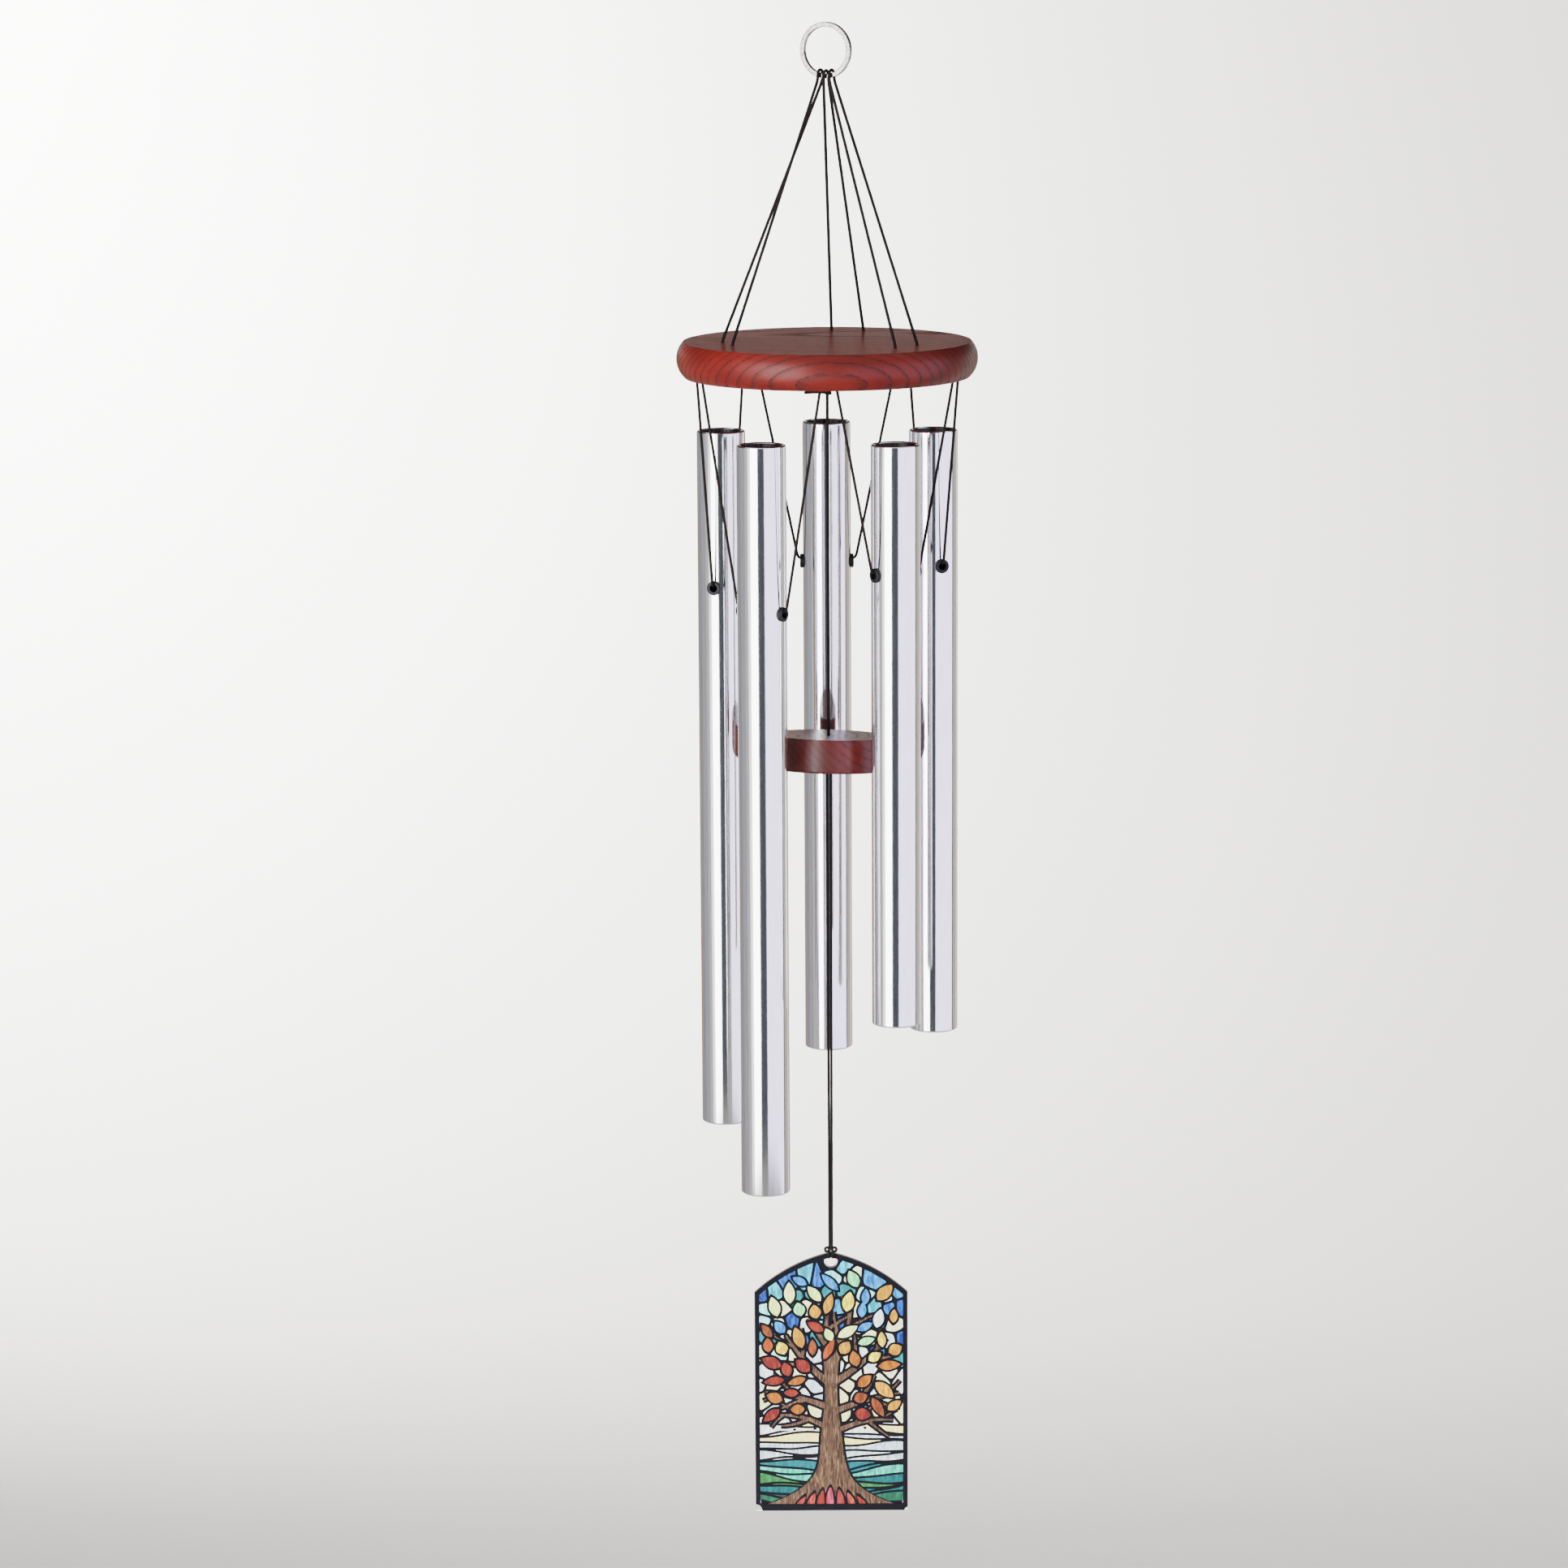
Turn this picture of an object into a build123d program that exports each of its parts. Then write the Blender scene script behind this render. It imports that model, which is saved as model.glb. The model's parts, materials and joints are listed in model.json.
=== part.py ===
from build123d import *
import os
from math import cos, hypot, radians, sin, sqrt

# A hanging wind chime. The origin is the centre of the hanging ring, +Z is up and -Y is the front,
# which the sail faces. All sizes are in millimetres and all angles in degrees.

# ---- hanging ring
RING_OUTER_RADIUS = 12.5
RING_INNER_RADIUS = 10.4
RING_THICKNESS = 2.5
RING_EDGE_ROUND = 0.4
RING_TURN = 27.0  # the ring's axis, turned about Z from +Y towards +X

# ---- cords
CORD_DIAMETER = 1.2
SAIL_CORD_DIAMETER = 1.0
CORD_HOLE_CLEARANCE = 0.3  # on the radius of a hole that a cord runs through
CORD_REST_GAP = 0.05  # between a cord and what it lies against
KNOT_RADIUS = 2.0
KNOT_HEIGHT = 3.2
KNOT_END_ROUND = 0.35  # share of the knot's radius or height, whichever is less
JOINT_GAP = 0.3  # between the end of a swinging cord and the piece that it hangs from

# ---- the three suspension cords
WRAP_SPACING = 2.8  # between the cords' loops, along the bar of the ring
WRAP_GAP = 0.07  # between a loop and the corners of the bar
WRAP_LEG = 3.5  # straight stretch of a loop, below the middle of the bar
HOLE_BEND_RADIUS = 6.0
HOLE_BEND_RISE = 1.5  # of a cord's corner, above the platform's top
BEND_MARGIN = 0.01  # of straight cord between two half-turn bends
SUSPENSION_INSET = 20.5  # of the cord holes, from the platform's rim
SUSPENSION_PAIR_HALF_ANGLE = 9.0
SUSPENSION_ANGLES = {"left": 198.0, "back": 78.0, "right": 318.0}

# ---- platform
PLATFORM_TOP = -129.5
PLATFORM_THICKNESS = 16.0
PLATFORM_RIM_RADIUS = 68.0
PLATFORM_TOP_INSET = 3.0  # of the top's edge, from the widest part of the rim
PLATFORM_BOTTOM_INSET = 3.7
KNOT_POCKET_CLEARANCE = 0.4
CUT_OVERRUN = 1.0  # of a hole's cutter, past the face that it opens on

# ---- lacing: the cord that carries the tubes dips into the platform at five places
TUBE_COUNT = 5
LACING_INSET = 8.0  # of the tunnels, from the platform's rim
LACING_PAIR_SPACING = 7.6  # between the two mouths of one tunnel
LACING_TUNNEL_DEPTH = 7.0
LACING_TUNNEL_BEND = 2.0
LACING_TUNNEL_OVERRUN = 2.0  # of a tunnel's cutter, below the platform
LACING_KNOT_INSET = 2.4  # of the closing knot, from the circle of the tunnels
LACING_KNOT_HALF_LENGTH = 1.2
LACING_TAIL_MIDDLE = 6.0  # from the middle of the knot
LACING_TAIL_REACH = 10.8  # from the middle of the knot
LACING_TAIL_SWAY = 2.4
LACING_TAIL_BEND = 4.8
LACING_BEAD_RADIUS = 0.75

# ---- tubes
TUBE_RADIUS = 11.1
TUBE_WALL = 1.65
TUBE_DROP = 26.0  # from the platform's underside to the tops of the tubes
LONGEST_TUBE = 342.0
HANG_SHARE = 0.22  # of the tube's length, close to the node of its lowest note
TUBE_OUTER_ROUND = 1.1
TUBE_INNER_ROUND = 0.3
# angle about the chime's axis, and semitones above the longest tube
TUBES = {
    "front_left": (234.0, 0),
    "back_left": (162.0, 2),
    "centre_back": (90.0, 5),
    "back_right": (18.0, 7),
    "front_right": (306.0, 9),
}

# ---- grommets
GROMMET_HOLE_RADIUS = 1.8
GROMMET_NECK_RADIUS = 2.4
GROMMET_FLANGE_RADIUS = 3.25
GROMMET_PROUD = 1.4
GROMMET_INNER_FLANGE_RADIUS = 3.0
GROMMET_INNER_PROUD = 0.9
GROMMET_ROUND = 0.5
CORD_SIDE_GAP = 0.25  # between a grommet's face and the leg of the cord that passes it
TUBE_CORD_BEND = 1.5

# ---- clapper
CLAPPER_DEPTH = 180.3  # from the platform's top to the middle of the clapper's top
CLAPPER_GAP = 11.7  # between the edge of the clapper's top and the nearest tube
CLAPPER_THICKNESS = 15.4
CLAPPER_RIM_BULGE = 0.8
CLAPPER_BOTTOM_ROUND = 1.2
CLAPPER_LEAN_BACK = 4.9
CLAPPER_LEAN_RIGHT = 1.7
CLAPPER_HOLE_GAP = 0.2  # between the centre cord and the leaning hole's ends
CLAPPER_POCKET_DEPTH = 5.5
CENTRE_KNOT_RADIUS = 1.7
ANCHOR_DEPTH = 9.0

# ---- sail and its cord
SAIL_CORD_SPACING = 1.8  # between the two strands at the clapper
SAIL_HOLE_DROP = 233.2  # from the middle of the clapper's underside to the sail's hole
SAIL_HALF_WIDTH = 35.8
SAIL_SHOULDER_DROP = 15.1  # from the hole's centre
SAIL_BOTTOM_DROP = 121.1  # from the hole's centre
SAIL_ARCH_RADIUS = 79.0
SAIL_ARCH_PEAK = 4.2  # where the two arcs meet, above the hole's centre
SAIL_TAB_RADIUS = 4.8
SAIL_HOLE_RADIUS = 2.75
SAIL_THICKNESS = 2.0
SAIL_CORNER_RADIUS = 1.0
HITCH_GAP = 0.17  # between a wrap and the corners of the web above the hole
HITCH_STRAND_HALF_GAP = 0.85
HITCH_EAR_RADIUS = 1.9
HITCH_EAR_RISE = 2.1  # from the middle of the web above the hole
HITCH_COLLAR_RADIUS = 1.2
HITCH_COLLAR_HEIGHT = 1.5

# ---- heights and places that follow
CORD_RADIUS = CORD_DIAMETER / 2
SAIL_CORD_RADIUS = SAIL_CORD_DIAMETER / 2
RING_BAR_RADIUS = (RING_OUTER_RADIUS + RING_INNER_RADIUS) / 2
WRAP_RADIUS = hypot(RING_OUTER_RADIUS - RING_INNER_RADIUS, RING_THICKNESS) / 2 + CORD_RADIUS + WRAP_GAP
RING_AXIS = Vector(sin(radians(RING_TURN)), cos(radians(RING_TURN)), 0)
RING_TANGENT = Vector(cos(radians(RING_TURN)), -sin(radians(RING_TURN)), 0)
PLATFORM_UNDERSIDE = PLATFORM_TOP - PLATFORM_THICKNESS
PLATFORM_TOP_RADIUS = PLATFORM_RIM_RADIUS - PLATFORM_TOP_INSET
PLATFORM_BOTTOM_RADIUS = PLATFORM_RIM_RADIUS - PLATFORM_BOTTOM_INSET
SUSPENSION_CIRCLE_RADIUS = PLATFORM_RIM_RADIUS - SUSPENSION_INSET
LACING_RADIUS = PLATFORM_RIM_RADIUS - LACING_INSET
KNOT_POCKET_RADIUS = KNOT_RADIUS + KNOT_POCKET_CLEARANCE
KNOT_POCKET_CEILING = PLATFORM_UNDERSIDE + KNOT_HEIGHT + KNOT_POCKET_CLEARANCE
HALF_STEP = 180.0 / TUBE_COUNT
TUBE_CIRCLE_RADIUS = LACING_RADIUS * cos(radians(HALF_STEP)) + LACING_PAIR_SPACING / 2 * sin(
    radians(HALF_STEP)
)
EXIT_HALF_SPAN = LACING_RADIUS * sin(radians(HALF_STEP)) - LACING_PAIR_SPACING / 2 * cos(
    radians(HALF_STEP)
)
TUBE_TOP = PLATFORM_UNDERSIDE - TUBE_DROP
TUBE_BORE_RADIUS = TUBE_RADIUS - TUBE_WALL
TUBE_PIVOT = PLATFORM_UNDERSIDE - CORD_RADIUS - JOINT_GAP
CLAPPER_RADIUS = TUBE_CIRCLE_RADIUS - TUBE_RADIUS - CLAPPER_GAP
CLAPPER_LEAN = hypot(CLAPPER_LEAN_BACK, CLAPPER_LEAN_RIGHT)
CLAPPER_HOLE_RADIUS = CORD_RADIUS + CLAPPER_THICKNESS / 2 * sin(radians(CLAPPER_LEAN)) + CLAPPER_HOLE_GAP
CLAPPER_TOP = PLATFORM_TOP - CLAPPER_DEPTH
CLAPPER_MIDDLE = CLAPPER_TOP - CLAPPER_THICKNESS / 2
CLAPPER_UNDERSIDE = CLAPPER_TOP - CLAPPER_THICKNESS
CLAPPER_PIVOT = PLATFORM_UNDERSIDE - CENTRE_KNOT_RADIUS - JOINT_GAP
STOP_KNOT_TOP = CLAPPER_UNDERSIDE + CLAPPER_POCKET_DEPTH
STOP_KNOT_BOTTOM = STOP_KNOT_TOP - KNOT_HEIGHT
SAIL_CORD_TOP = STOP_KNOT_BOTTOM - JOINT_GAP
SAIL_HOLE = CLAPPER_UNDERSIDE - SAIL_HOLE_DROP
SAIL_WEB = SAIL_HOLE + (SAIL_HOLE_RADIUS + SAIL_TAB_RADIUS) / 2
HITCH_WRAP_RADIUS = (
    hypot(SAIL_TAB_RADIUS - SAIL_HOLE_RADIUS, SAIL_THICKNESS) / 2 + SAIL_CORD_RADIUS + HITCH_GAP
)
HITCH_EARS = SAIL_WEB + HITCH_EAR_RISE
HITCH_TOP = HITCH_EARS + HITCH_COLLAR_HEIGHT
SAIL_CORD_BOTTOM = HITCH_TOP + JOINT_GAP


def tube_length(semitones):
    """A tube's pitch rises with the inverse square of its length."""
    return LONGEST_TUBE * 2 ** (-semitones / 24)


def around(angle, radius, z):
    """A point at an angle and radius about the chime's axis."""
    return Vector(radius * cos(radians(angle)), radius * sin(radians(angle)), z)


def station(angle, radius):
    """Places a piece made with its outward side towards +Y at an angle and radius."""
    return Location(tuple(around(angle, radius, 0)), (0, 0, angle - 90))


def rod(radius, bottom, top, x=0.0, y=0.0):
    """An upright cylinder between two heights."""
    return Pos(x, y, (bottom + top) / 2) * Cylinder(radius, top - bottom)


def cross_rod(radius, near, far, z):
    """A cylinder along +X between two places."""
    return Pos((near + far) / 2, 0, z) * Rot(0, 90, 0) * Cylinder(radius, far - near)


def cord(points, bends, radius):
    """A round cord along straight runs joined by tangent arcs."""
    path = FilletPolyline(*points, radius=bends)
    start = Plane(origin=path @ 0, z_dir=path % 0)
    return sweep(start * Circle(radius), path=path)


def barrel(radius, height, top, x=0.0, y=0.0):
    """A tightly drawn stop knot: a short barrel with rounded ends."""
    knot = rod(radius, top - height, top, x, y)
    rims = knot.edges().filter_by(GeomType.CIRCLE)
    return fillet(rims, min(radius, height) * KNOT_END_ROUND)


def hanging_ring():
    ring = Cylinder(RING_OUTER_RADIUS, RING_THICKNESS) - Cylinder(RING_INNER_RADIUS, RING_THICKNESS)
    ring = fillet(ring.edges().filter_by(GeomType.CIRCLE), RING_EDGE_ROUND)
    return Rot(0, 0, -RING_TURN) * Rot(90, 0, 0) * ring


def suspension_holes(angle):
    """The two holes of one suspension cord, the one further back along the ring's axis last."""
    pair = [
        around(angle + side * SUSPENSION_PAIR_HALF_ANGLE, SUSPENSION_CIRCLE_RADIUS, 0) for side in (-1, 1)
    ]
    return sorted(pair, key=lambda hole: hole.dot(RING_AXIS))


def suspension_cord(angle, place):
    """One cord: up through its first hole, over the bar of the ring and down through the second."""
    offset = place * WRAP_SPACING
    bar = RING_TANGENT * offset + Vector(0, 0, -sqrt(RING_BAR_RADIUS**2 - offset**2))
    front, back = suspension_holes(angle)
    mouth = Vector(0, 0, PLATFORM_TOP + HOLE_BEND_RISE)
    reach = RING_AXIS * (WRAP_RADIUS + BEND_MARGIN)
    points = [
        front + Vector(0, 0, KNOT_POCKET_CEILING),
        front + mouth,
        bar - reach - Vector(0, 0, WRAP_LEG),
        bar - reach + Vector(0, 0, WRAP_RADIUS),
        bar + reach + Vector(0, 0, WRAP_RADIUS),
        bar + reach - Vector(0, 0, WRAP_LEG),
        back + mouth,
        back + Vector(0, 0, KNOT_POCKET_CEILING),
    ]
    bends = [HOLE_BEND_RADIUS, HOLE_BEND_RADIUS, WRAP_RADIUS, WRAP_RADIUS, HOLE_BEND_RADIUS, HOLE_BEND_RADIUS]
    return cord(points, bends, CORD_RADIUS)


def suspension_knots():
    """The six stop knots, in their pockets under the platform."""
    holes = [hole for angle in SUSPENSION_ANGLES.values() for hole in suspension_holes(angle)]
    return Compound([barrel(KNOT_RADIUS, KNOT_HEIGHT, KNOT_POCKET_CEILING, hole.X, hole.Y) for hole in holes])


def lacing_path(angle, radius, overrun):
    """The cord's dip into the platform between two tubes, or its tunnel when it is wider."""
    half = LACING_PAIR_SPACING / 2
    rise = LACING_TUNNEL_DEPTH
    run = half * overrun / rise
    points = [
        (-half - run, 0, PLATFORM_UNDERSIDE - overrun),
        (0, 0, PLATFORM_UNDERSIDE + rise),
        (half + run, 0, PLATFORM_UNDERSIDE - overrun),
    ]
    return station(angle, LACING_RADIUS) * cord(points, [LACING_TUNNEL_BEND], radius)


def lacing_angles():
    """The angles midway between the tubes, where the cord enters the platform."""
    names = ["front", "left", "back_left", "back_right", "right"]
    return {name: 270.0 - 2 * HALF_STEP * index for index, name in enumerate(names)}


def platform():
    middle = (PLATFORM_TOP + PLATFORM_UNDERSIDE) / 2
    top_edge = (PLATFORM_TOP_RADIUS, PLATFORM_TOP)
    bottom_edge = (PLATFORM_BOTTOM_RADIUS, PLATFORM_UNDERSIDE)
    outline = Polyline(bottom_edge, (0, PLATFORM_UNDERSIDE), (0, PLATFORM_TOP), top_edge)
    rim = ThreePointArc(top_edge, (PLATFORM_RIM_RADIUS, middle), bottom_edge)
    disc = revolve(Plane.XZ * make_face(outline + rim), Axis.Z)
    bore = CORD_RADIUS + CORD_HOLE_CLEARANCE
    below = PLATFORM_UNDERSIDE - CUT_OVERRUN
    for angle in SUSPENSION_ANGLES.values():
        for hole in suspension_holes(angle):
            disc -= rod(bore, below, PLATFORM_TOP + CUT_OVERRUN, hole.X, hole.Y)
            disc -= rod(KNOT_POCKET_RADIUS, below, KNOT_POCKET_CEILING, hole.X, hole.Y)
    for angle in lacing_angles().values():
        disc -= lacing_path(angle, bore, LACING_TUNNEL_OVERRUN)
    return disc - rod(bore, below, PLATFORM_UNDERSIDE + ANCHOR_DEPTH)


def lacing_knot():
    """The knot that joins the two ends of the lacing cord, flat under the front of the platform."""
    level = PLATFORM_UNDERSIDE - CORD_DIAMETER
    knot = cross_rod(CORD_DIAMETER, -LACING_KNOT_HALF_LENGTH, LACING_KNOT_HALF_LENGTH, level)
    knot = fillet(knot.edges().filter_by(GeomType.CIRCLE), CORD_RADIUS / 2)
    return station(270.0, LACING_RADIUS - LACING_KNOT_INSET) * knot


def lacing_tail():
    """The cord's free end beyond the knot, closed by a melted bead."""
    level = PLATFORM_UNDERSIDE - CORD_DIAMETER
    start = (LACING_KNOT_HALF_LENGTH, 0, level)
    end = (LACING_TAIL_REACH, LACING_TAIL_SWAY, level)
    tail = cord([start, (LACING_TAIL_MIDDLE, 0, level), end], [LACING_TAIL_BEND], CORD_RADIUS)
    bead = Pos(*end) * Sphere(LACING_BEAD_RADIUS)
    return station(270.0, LACING_RADIUS - LACING_KNOT_INSET) * (tail + bead)


def hang_height(length):
    """The height of a tube's cross holes."""
    return TUBE_TOP - HANG_SHARE * length


def tube(length):
    bottom = TUBE_TOP - length
    pipe = rod(TUBE_RADIUS, bottom, TUBE_TOP) - rod(TUBE_BORE_RADIUS, bottom, TUBE_TOP)
    rims = pipe.edges().filter_by(GeomType.CIRCLE)
    pipe = fillet(rims.filter_by(lambda rim: rim.radius > TUBE_BORE_RADIUS + TUBE_WALL / 2), TUBE_OUTER_ROUND)
    rims = pipe.edges().filter_by(GeomType.CIRCLE)
    pipe = fillet(
        rims.filter_by(lambda rim: abs(rim.radius - TUBE_BORE_RADIUS) < TUBE_INNER_ROUND / 2),
        TUBE_INNER_ROUND,
    )
    return pipe - cross_rod(GROMMET_NECK_RADIUS, -2 * TUBE_RADIUS, 2 * TUBE_RADIUS, hang_height(length))


def grommet(length, side):
    """A rubber eyelet in one of a tube's cross holes, seated on both faces of the wall."""
    z = hang_height(length)
    outer_end = TUBE_RADIUS + GROMMET_PROUD
    inner_end = TUBE_BORE_RADIUS - GROMMET_INNER_PROUD
    middle = TUBE_RADIUS - TUBE_WALL / 2
    flange = cross_rod(GROMMET_FLANGE_RADIUS, middle - TUBE_WALL, outer_end, z)
    outer_face = flange.faces().sort_by(Axis.X)[-1]
    flange = fillet(outer_face.edges(), GROMMET_ROUND)
    flange -= rod(TUBE_RADIUS, z - TUBE_RADIUS, z + TUBE_RADIUS)
    inner = cross_rod(GROMMET_INNER_FLANGE_RADIUS, inner_end, middle, z)
    inner &= rod(TUBE_BORE_RADIUS, z - TUBE_RADIUS, z + TUBE_RADIUS)
    body = flange + cross_rod(GROMMET_NECK_RADIUS, inner_end, outer_end - GROMMET_ROUND, z) + inner
    body -= cross_rod(GROMMET_HOLE_RADIUS, 0, 2 * TUBE_RADIUS, z)
    return body if side > 0 else Rot(0, 0, 180) * body


def tube_cord(length):
    """The stretch of the lacing cord that carries one tube, down from its two exits and through it."""
    level = hang_height(length) + GROMMET_HOLE_RADIUS - CORD_RADIUS - CORD_REST_GAP
    corner = TUBE_RADIUS + GROMMET_PROUD + CORD_SIDE_GAP + CORD_RADIUS
    points = [
        (-EXIT_HALF_SPAN, 0, TUBE_PIVOT),
        (-corner, 0, level),
        (corner, 0, level),
        (EXIT_HALF_SPAN, 0, TUBE_PIVOT),
    ]
    body = cord(points, [TUBE_CORD_BEND, TUBE_CORD_BEND], CORD_RADIUS)
    for side in (-1, 1):
        body += Pos(side * EXIT_HALF_SPAN, 0, TUBE_PIVOT) * Sphere(CORD_RADIUS)
    return body


def clapper_cord_anchor():
    """The end of the centre cord, glued into the platform."""
    return rod(CORD_RADIUS, PLATFORM_UNDERSIDE, PLATFORM_UNDERSIDE + ANCHOR_DEPTH)


def clapper_knot():
    """The knot that the centre cord swings from, just under the platform."""
    return Pos(0, 0, CLAPPER_PIVOT) * Sphere(CENTRE_KNOT_RADIUS)


def clapper_cord():
    return rod(CORD_RADIUS, STOP_KNOT_TOP, CLAPPER_PIVOT - CENTRE_KNOT_RADIUS - JOINT_GAP)


def clapper():
    """A turned disc on the centre cord, which hangs a little out of level."""
    half = CLAPPER_THICKNESS / 2
    outline = Polyline((CLAPPER_RADIUS, -half), (0, -half), (0, half), (CLAPPER_RADIUS, half))
    rim = ThreePointArc(
        (CLAPPER_RADIUS, half), (CLAPPER_RADIUS + CLAPPER_RIM_BULGE, 0), (CLAPPER_RADIUS, -half)
    )
    disc = revolve(Plane.XZ * make_face(outline + rim), Axis.Z)
    bottom_rim = disc.edges().filter_by(GeomType.CIRCLE).sort_by(Axis.Z)[0]
    disc = fillet(bottom_rim, CLAPPER_BOTTOM_ROUND)
    disc -= rod(CLAPPER_HOLE_RADIUS, -half - CUT_OVERRUN, half + CUT_OVERRUN)
    disc -= rod(KNOT_POCKET_RADIUS, -half - CUT_OVERRUN, -half + CLAPPER_POCKET_DEPTH)
    return Pos(0, 0, CLAPPER_MIDDLE) * Rot(-CLAPPER_LEAN_BACK, CLAPPER_LEAN_RIGHT, 0) * disc


def clapper_stop_knot():
    """The knot that the clapper rests on, inside its pocket."""
    slope = sin(radians(CLAPPER_LEAN_BACK + CLAPPER_LEAN_RIGHT))
    drop = KNOT_RADIUS * slope
    top = STOP_KNOT_TOP - drop
    knot = barrel(KNOT_RADIUS, KNOT_HEIGHT - drop, top)
    return knot + rod(CORD_RADIUS, top - KNOT_HEIGHT / 4, STOP_KNOT_TOP)


def sail_cord():
    """The two strands from the clapper's knot to the sail's hitch."""
    strands = []
    for side in (-1, 1):
        top = Vector(side * SAIL_CORD_SPACING / 2, 0, SAIL_CORD_TOP)
        bottom = Vector(side * (SAIL_CORD_RADIUS + CORD_REST_GAP), 0, SAIL_CORD_BOTTOM)
        run = bottom - top
        plane = Plane(origin=top, z_dir=run)
        strands.append(extrude(plane * Circle(SAIL_CORD_RADIUS), run.length))
    return Compound(strands)


def sail_hitch():
    """A cow hitch: two wraps round the web over the sail's hole, under a collar with two ears."""
    parts = []
    for side in (-1, 1):
        x = side * HITCH_STRAND_HALF_GAP
        reach = HITCH_WRAP_RADIUS + BEND_MARGIN
        points = [
            (x, -reach, HITCH_EARS),
            (x, -reach, SAIL_WEB - HITCH_WRAP_RADIUS),
            (x, reach, SAIL_WEB - HITCH_WRAP_RADIUS),
            (x, reach, HITCH_EARS),
        ]
        parts.append(cord(points, [HITCH_WRAP_RADIUS, HITCH_WRAP_RADIUS], SAIL_CORD_RADIUS))
        parts.append(Pos(x, 0, HITCH_EARS) * Torus(HITCH_EAR_RADIUS, SAIL_CORD_RADIUS))
    parts.append(rod(HITCH_COLLAR_RADIUS, HITCH_EARS - SAIL_CORD_RADIUS, HITCH_TOP))
    parts.append(Pos(0, 0, HITCH_EARS) * Box(2 * SAIL_CORD_RADIUS, 2 * HITCH_WRAP_RADIUS, SAIL_CORD_DIAMETER))
    body = parts[0]
    for piece in parts[1:]:
        body += piece
    return body


def sail():
    """A flat panel with a pointed arch on top and a small tab round its hole."""
    shoulder = -SAIL_SHOULDER_DROP
    corners = [(-SAIL_HALF_WIDTH, shoulder), (-SAIL_HALF_WIDTH, -SAIL_BOTTOM_DROP)]
    corners += [(SAIL_HALF_WIDTH, -SAIL_BOTTOM_DROP), (SAIL_HALF_WIDTH, shoulder)]
    peak = (0, SAIL_ARCH_PEAK)
    outline = Polyline(*corners) + RadiusArc(corners[0], peak, SAIL_ARCH_RADIUS)
    outline += RadiusArc(peak, corners[-1], SAIL_ARCH_RADIUS)
    face = make_face(outline)
    low_corners = face.vertices().sort_by(Axis.Y)[:2]
    face = fillet(low_corners, SAIL_CORNER_RADIUS)
    face = face + Circle(SAIL_TAB_RADIUS) - Circle(SAIL_HOLE_RADIUS)
    panel = extrude(Plane.XZ * face, SAIL_THICKNESS / 2, both=True)
    return Pos(0, 0, SAIL_HOLE) * panel


def build():
    """Every node of the chime, by name."""
    nodes = {"hanging_ring": hanging_ring(), "platform": platform()}
    for place, (name, angle) in zip((-1, 0, 1), SUSPENSION_ANGLES.items()):
        nodes[f"suspension_cord_{name}"] = suspension_cord(angle, place)
    nodes["suspension_knots"] = suspension_knots()
    for name, angle in lacing_angles().items():
        nodes[f"lacing_link_{name}"] = lacing_path(angle, CORD_RADIUS, 0.0)
    nodes["lacing_knot"] = lacing_knot()
    nodes["lacing_tail"] = lacing_tail()
    for name, (angle, semitones) in TUBES.items():
        length = tube_length(semitones)
        place = station(angle, TUBE_CIRCLE_RADIUS)
        nodes[f"tube_{name}"] = place * tube(length)
        nodes[f"tube_cord_{name}"] = place * tube_cord(length)
        for side, hand in ((-1, "a"), (1, "b")):
            nodes[f"grommet_{name}_{hand}"] = place * grommet(length, side)
    nodes["clapper_cord_anchor"] = clapper_cord_anchor()
    nodes["clapper_knot"] = clapper_knot()
    nodes["clapper_cord"] = clapper_cord()
    nodes["clapper"] = clapper()
    nodes["clapper_stop_knot"] = clapper_stop_knot()
    nodes["sail_cord"] = sail_cord()
    nodes["sail_hitch"] = sail_hitch()
    nodes["sail"] = sail()
    return nodes


os.makedirs("parts", exist_ok=True)
for node, shape in build().items():
    shape.label = node
    export_step(shape, f"parts/{node}.step")
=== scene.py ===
import json
import math
import random

import bmesh
import bpy
from bpy.props import FloatProperty, IntProperty, PointerProperty, StringProperty
from mathutils import Matrix, Vector


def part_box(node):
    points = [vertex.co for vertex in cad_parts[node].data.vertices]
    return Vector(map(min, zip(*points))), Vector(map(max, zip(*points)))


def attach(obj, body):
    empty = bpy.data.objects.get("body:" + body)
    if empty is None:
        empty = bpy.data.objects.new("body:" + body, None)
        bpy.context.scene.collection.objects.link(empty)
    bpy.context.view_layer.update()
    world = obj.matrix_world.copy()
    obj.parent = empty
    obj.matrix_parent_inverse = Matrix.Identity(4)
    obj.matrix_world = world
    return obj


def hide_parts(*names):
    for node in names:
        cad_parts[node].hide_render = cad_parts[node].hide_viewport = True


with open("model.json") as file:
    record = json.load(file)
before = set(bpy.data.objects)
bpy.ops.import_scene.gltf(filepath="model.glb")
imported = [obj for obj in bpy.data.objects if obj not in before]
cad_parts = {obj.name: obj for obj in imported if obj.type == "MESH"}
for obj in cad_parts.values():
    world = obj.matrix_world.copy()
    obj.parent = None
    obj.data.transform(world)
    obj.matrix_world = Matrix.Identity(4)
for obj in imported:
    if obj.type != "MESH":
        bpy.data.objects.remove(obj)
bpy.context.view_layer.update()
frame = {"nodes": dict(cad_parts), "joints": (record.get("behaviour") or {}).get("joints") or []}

bl_info = {
    "name": "Wind chime",
    "version": (1, 0, 0),
    "blender": (4, 5, 0),
    "location": "View3D > Sidebar > Wind chime",
    "description": "Dresses the frame of a wind chime with its cords, tubes, woods and sail",
    "category": "Object",
}

MM = 0.001
TUBE_NAMES = ["front_left", "back_left", "centre_back", "back_right", "front_right"]
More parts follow.
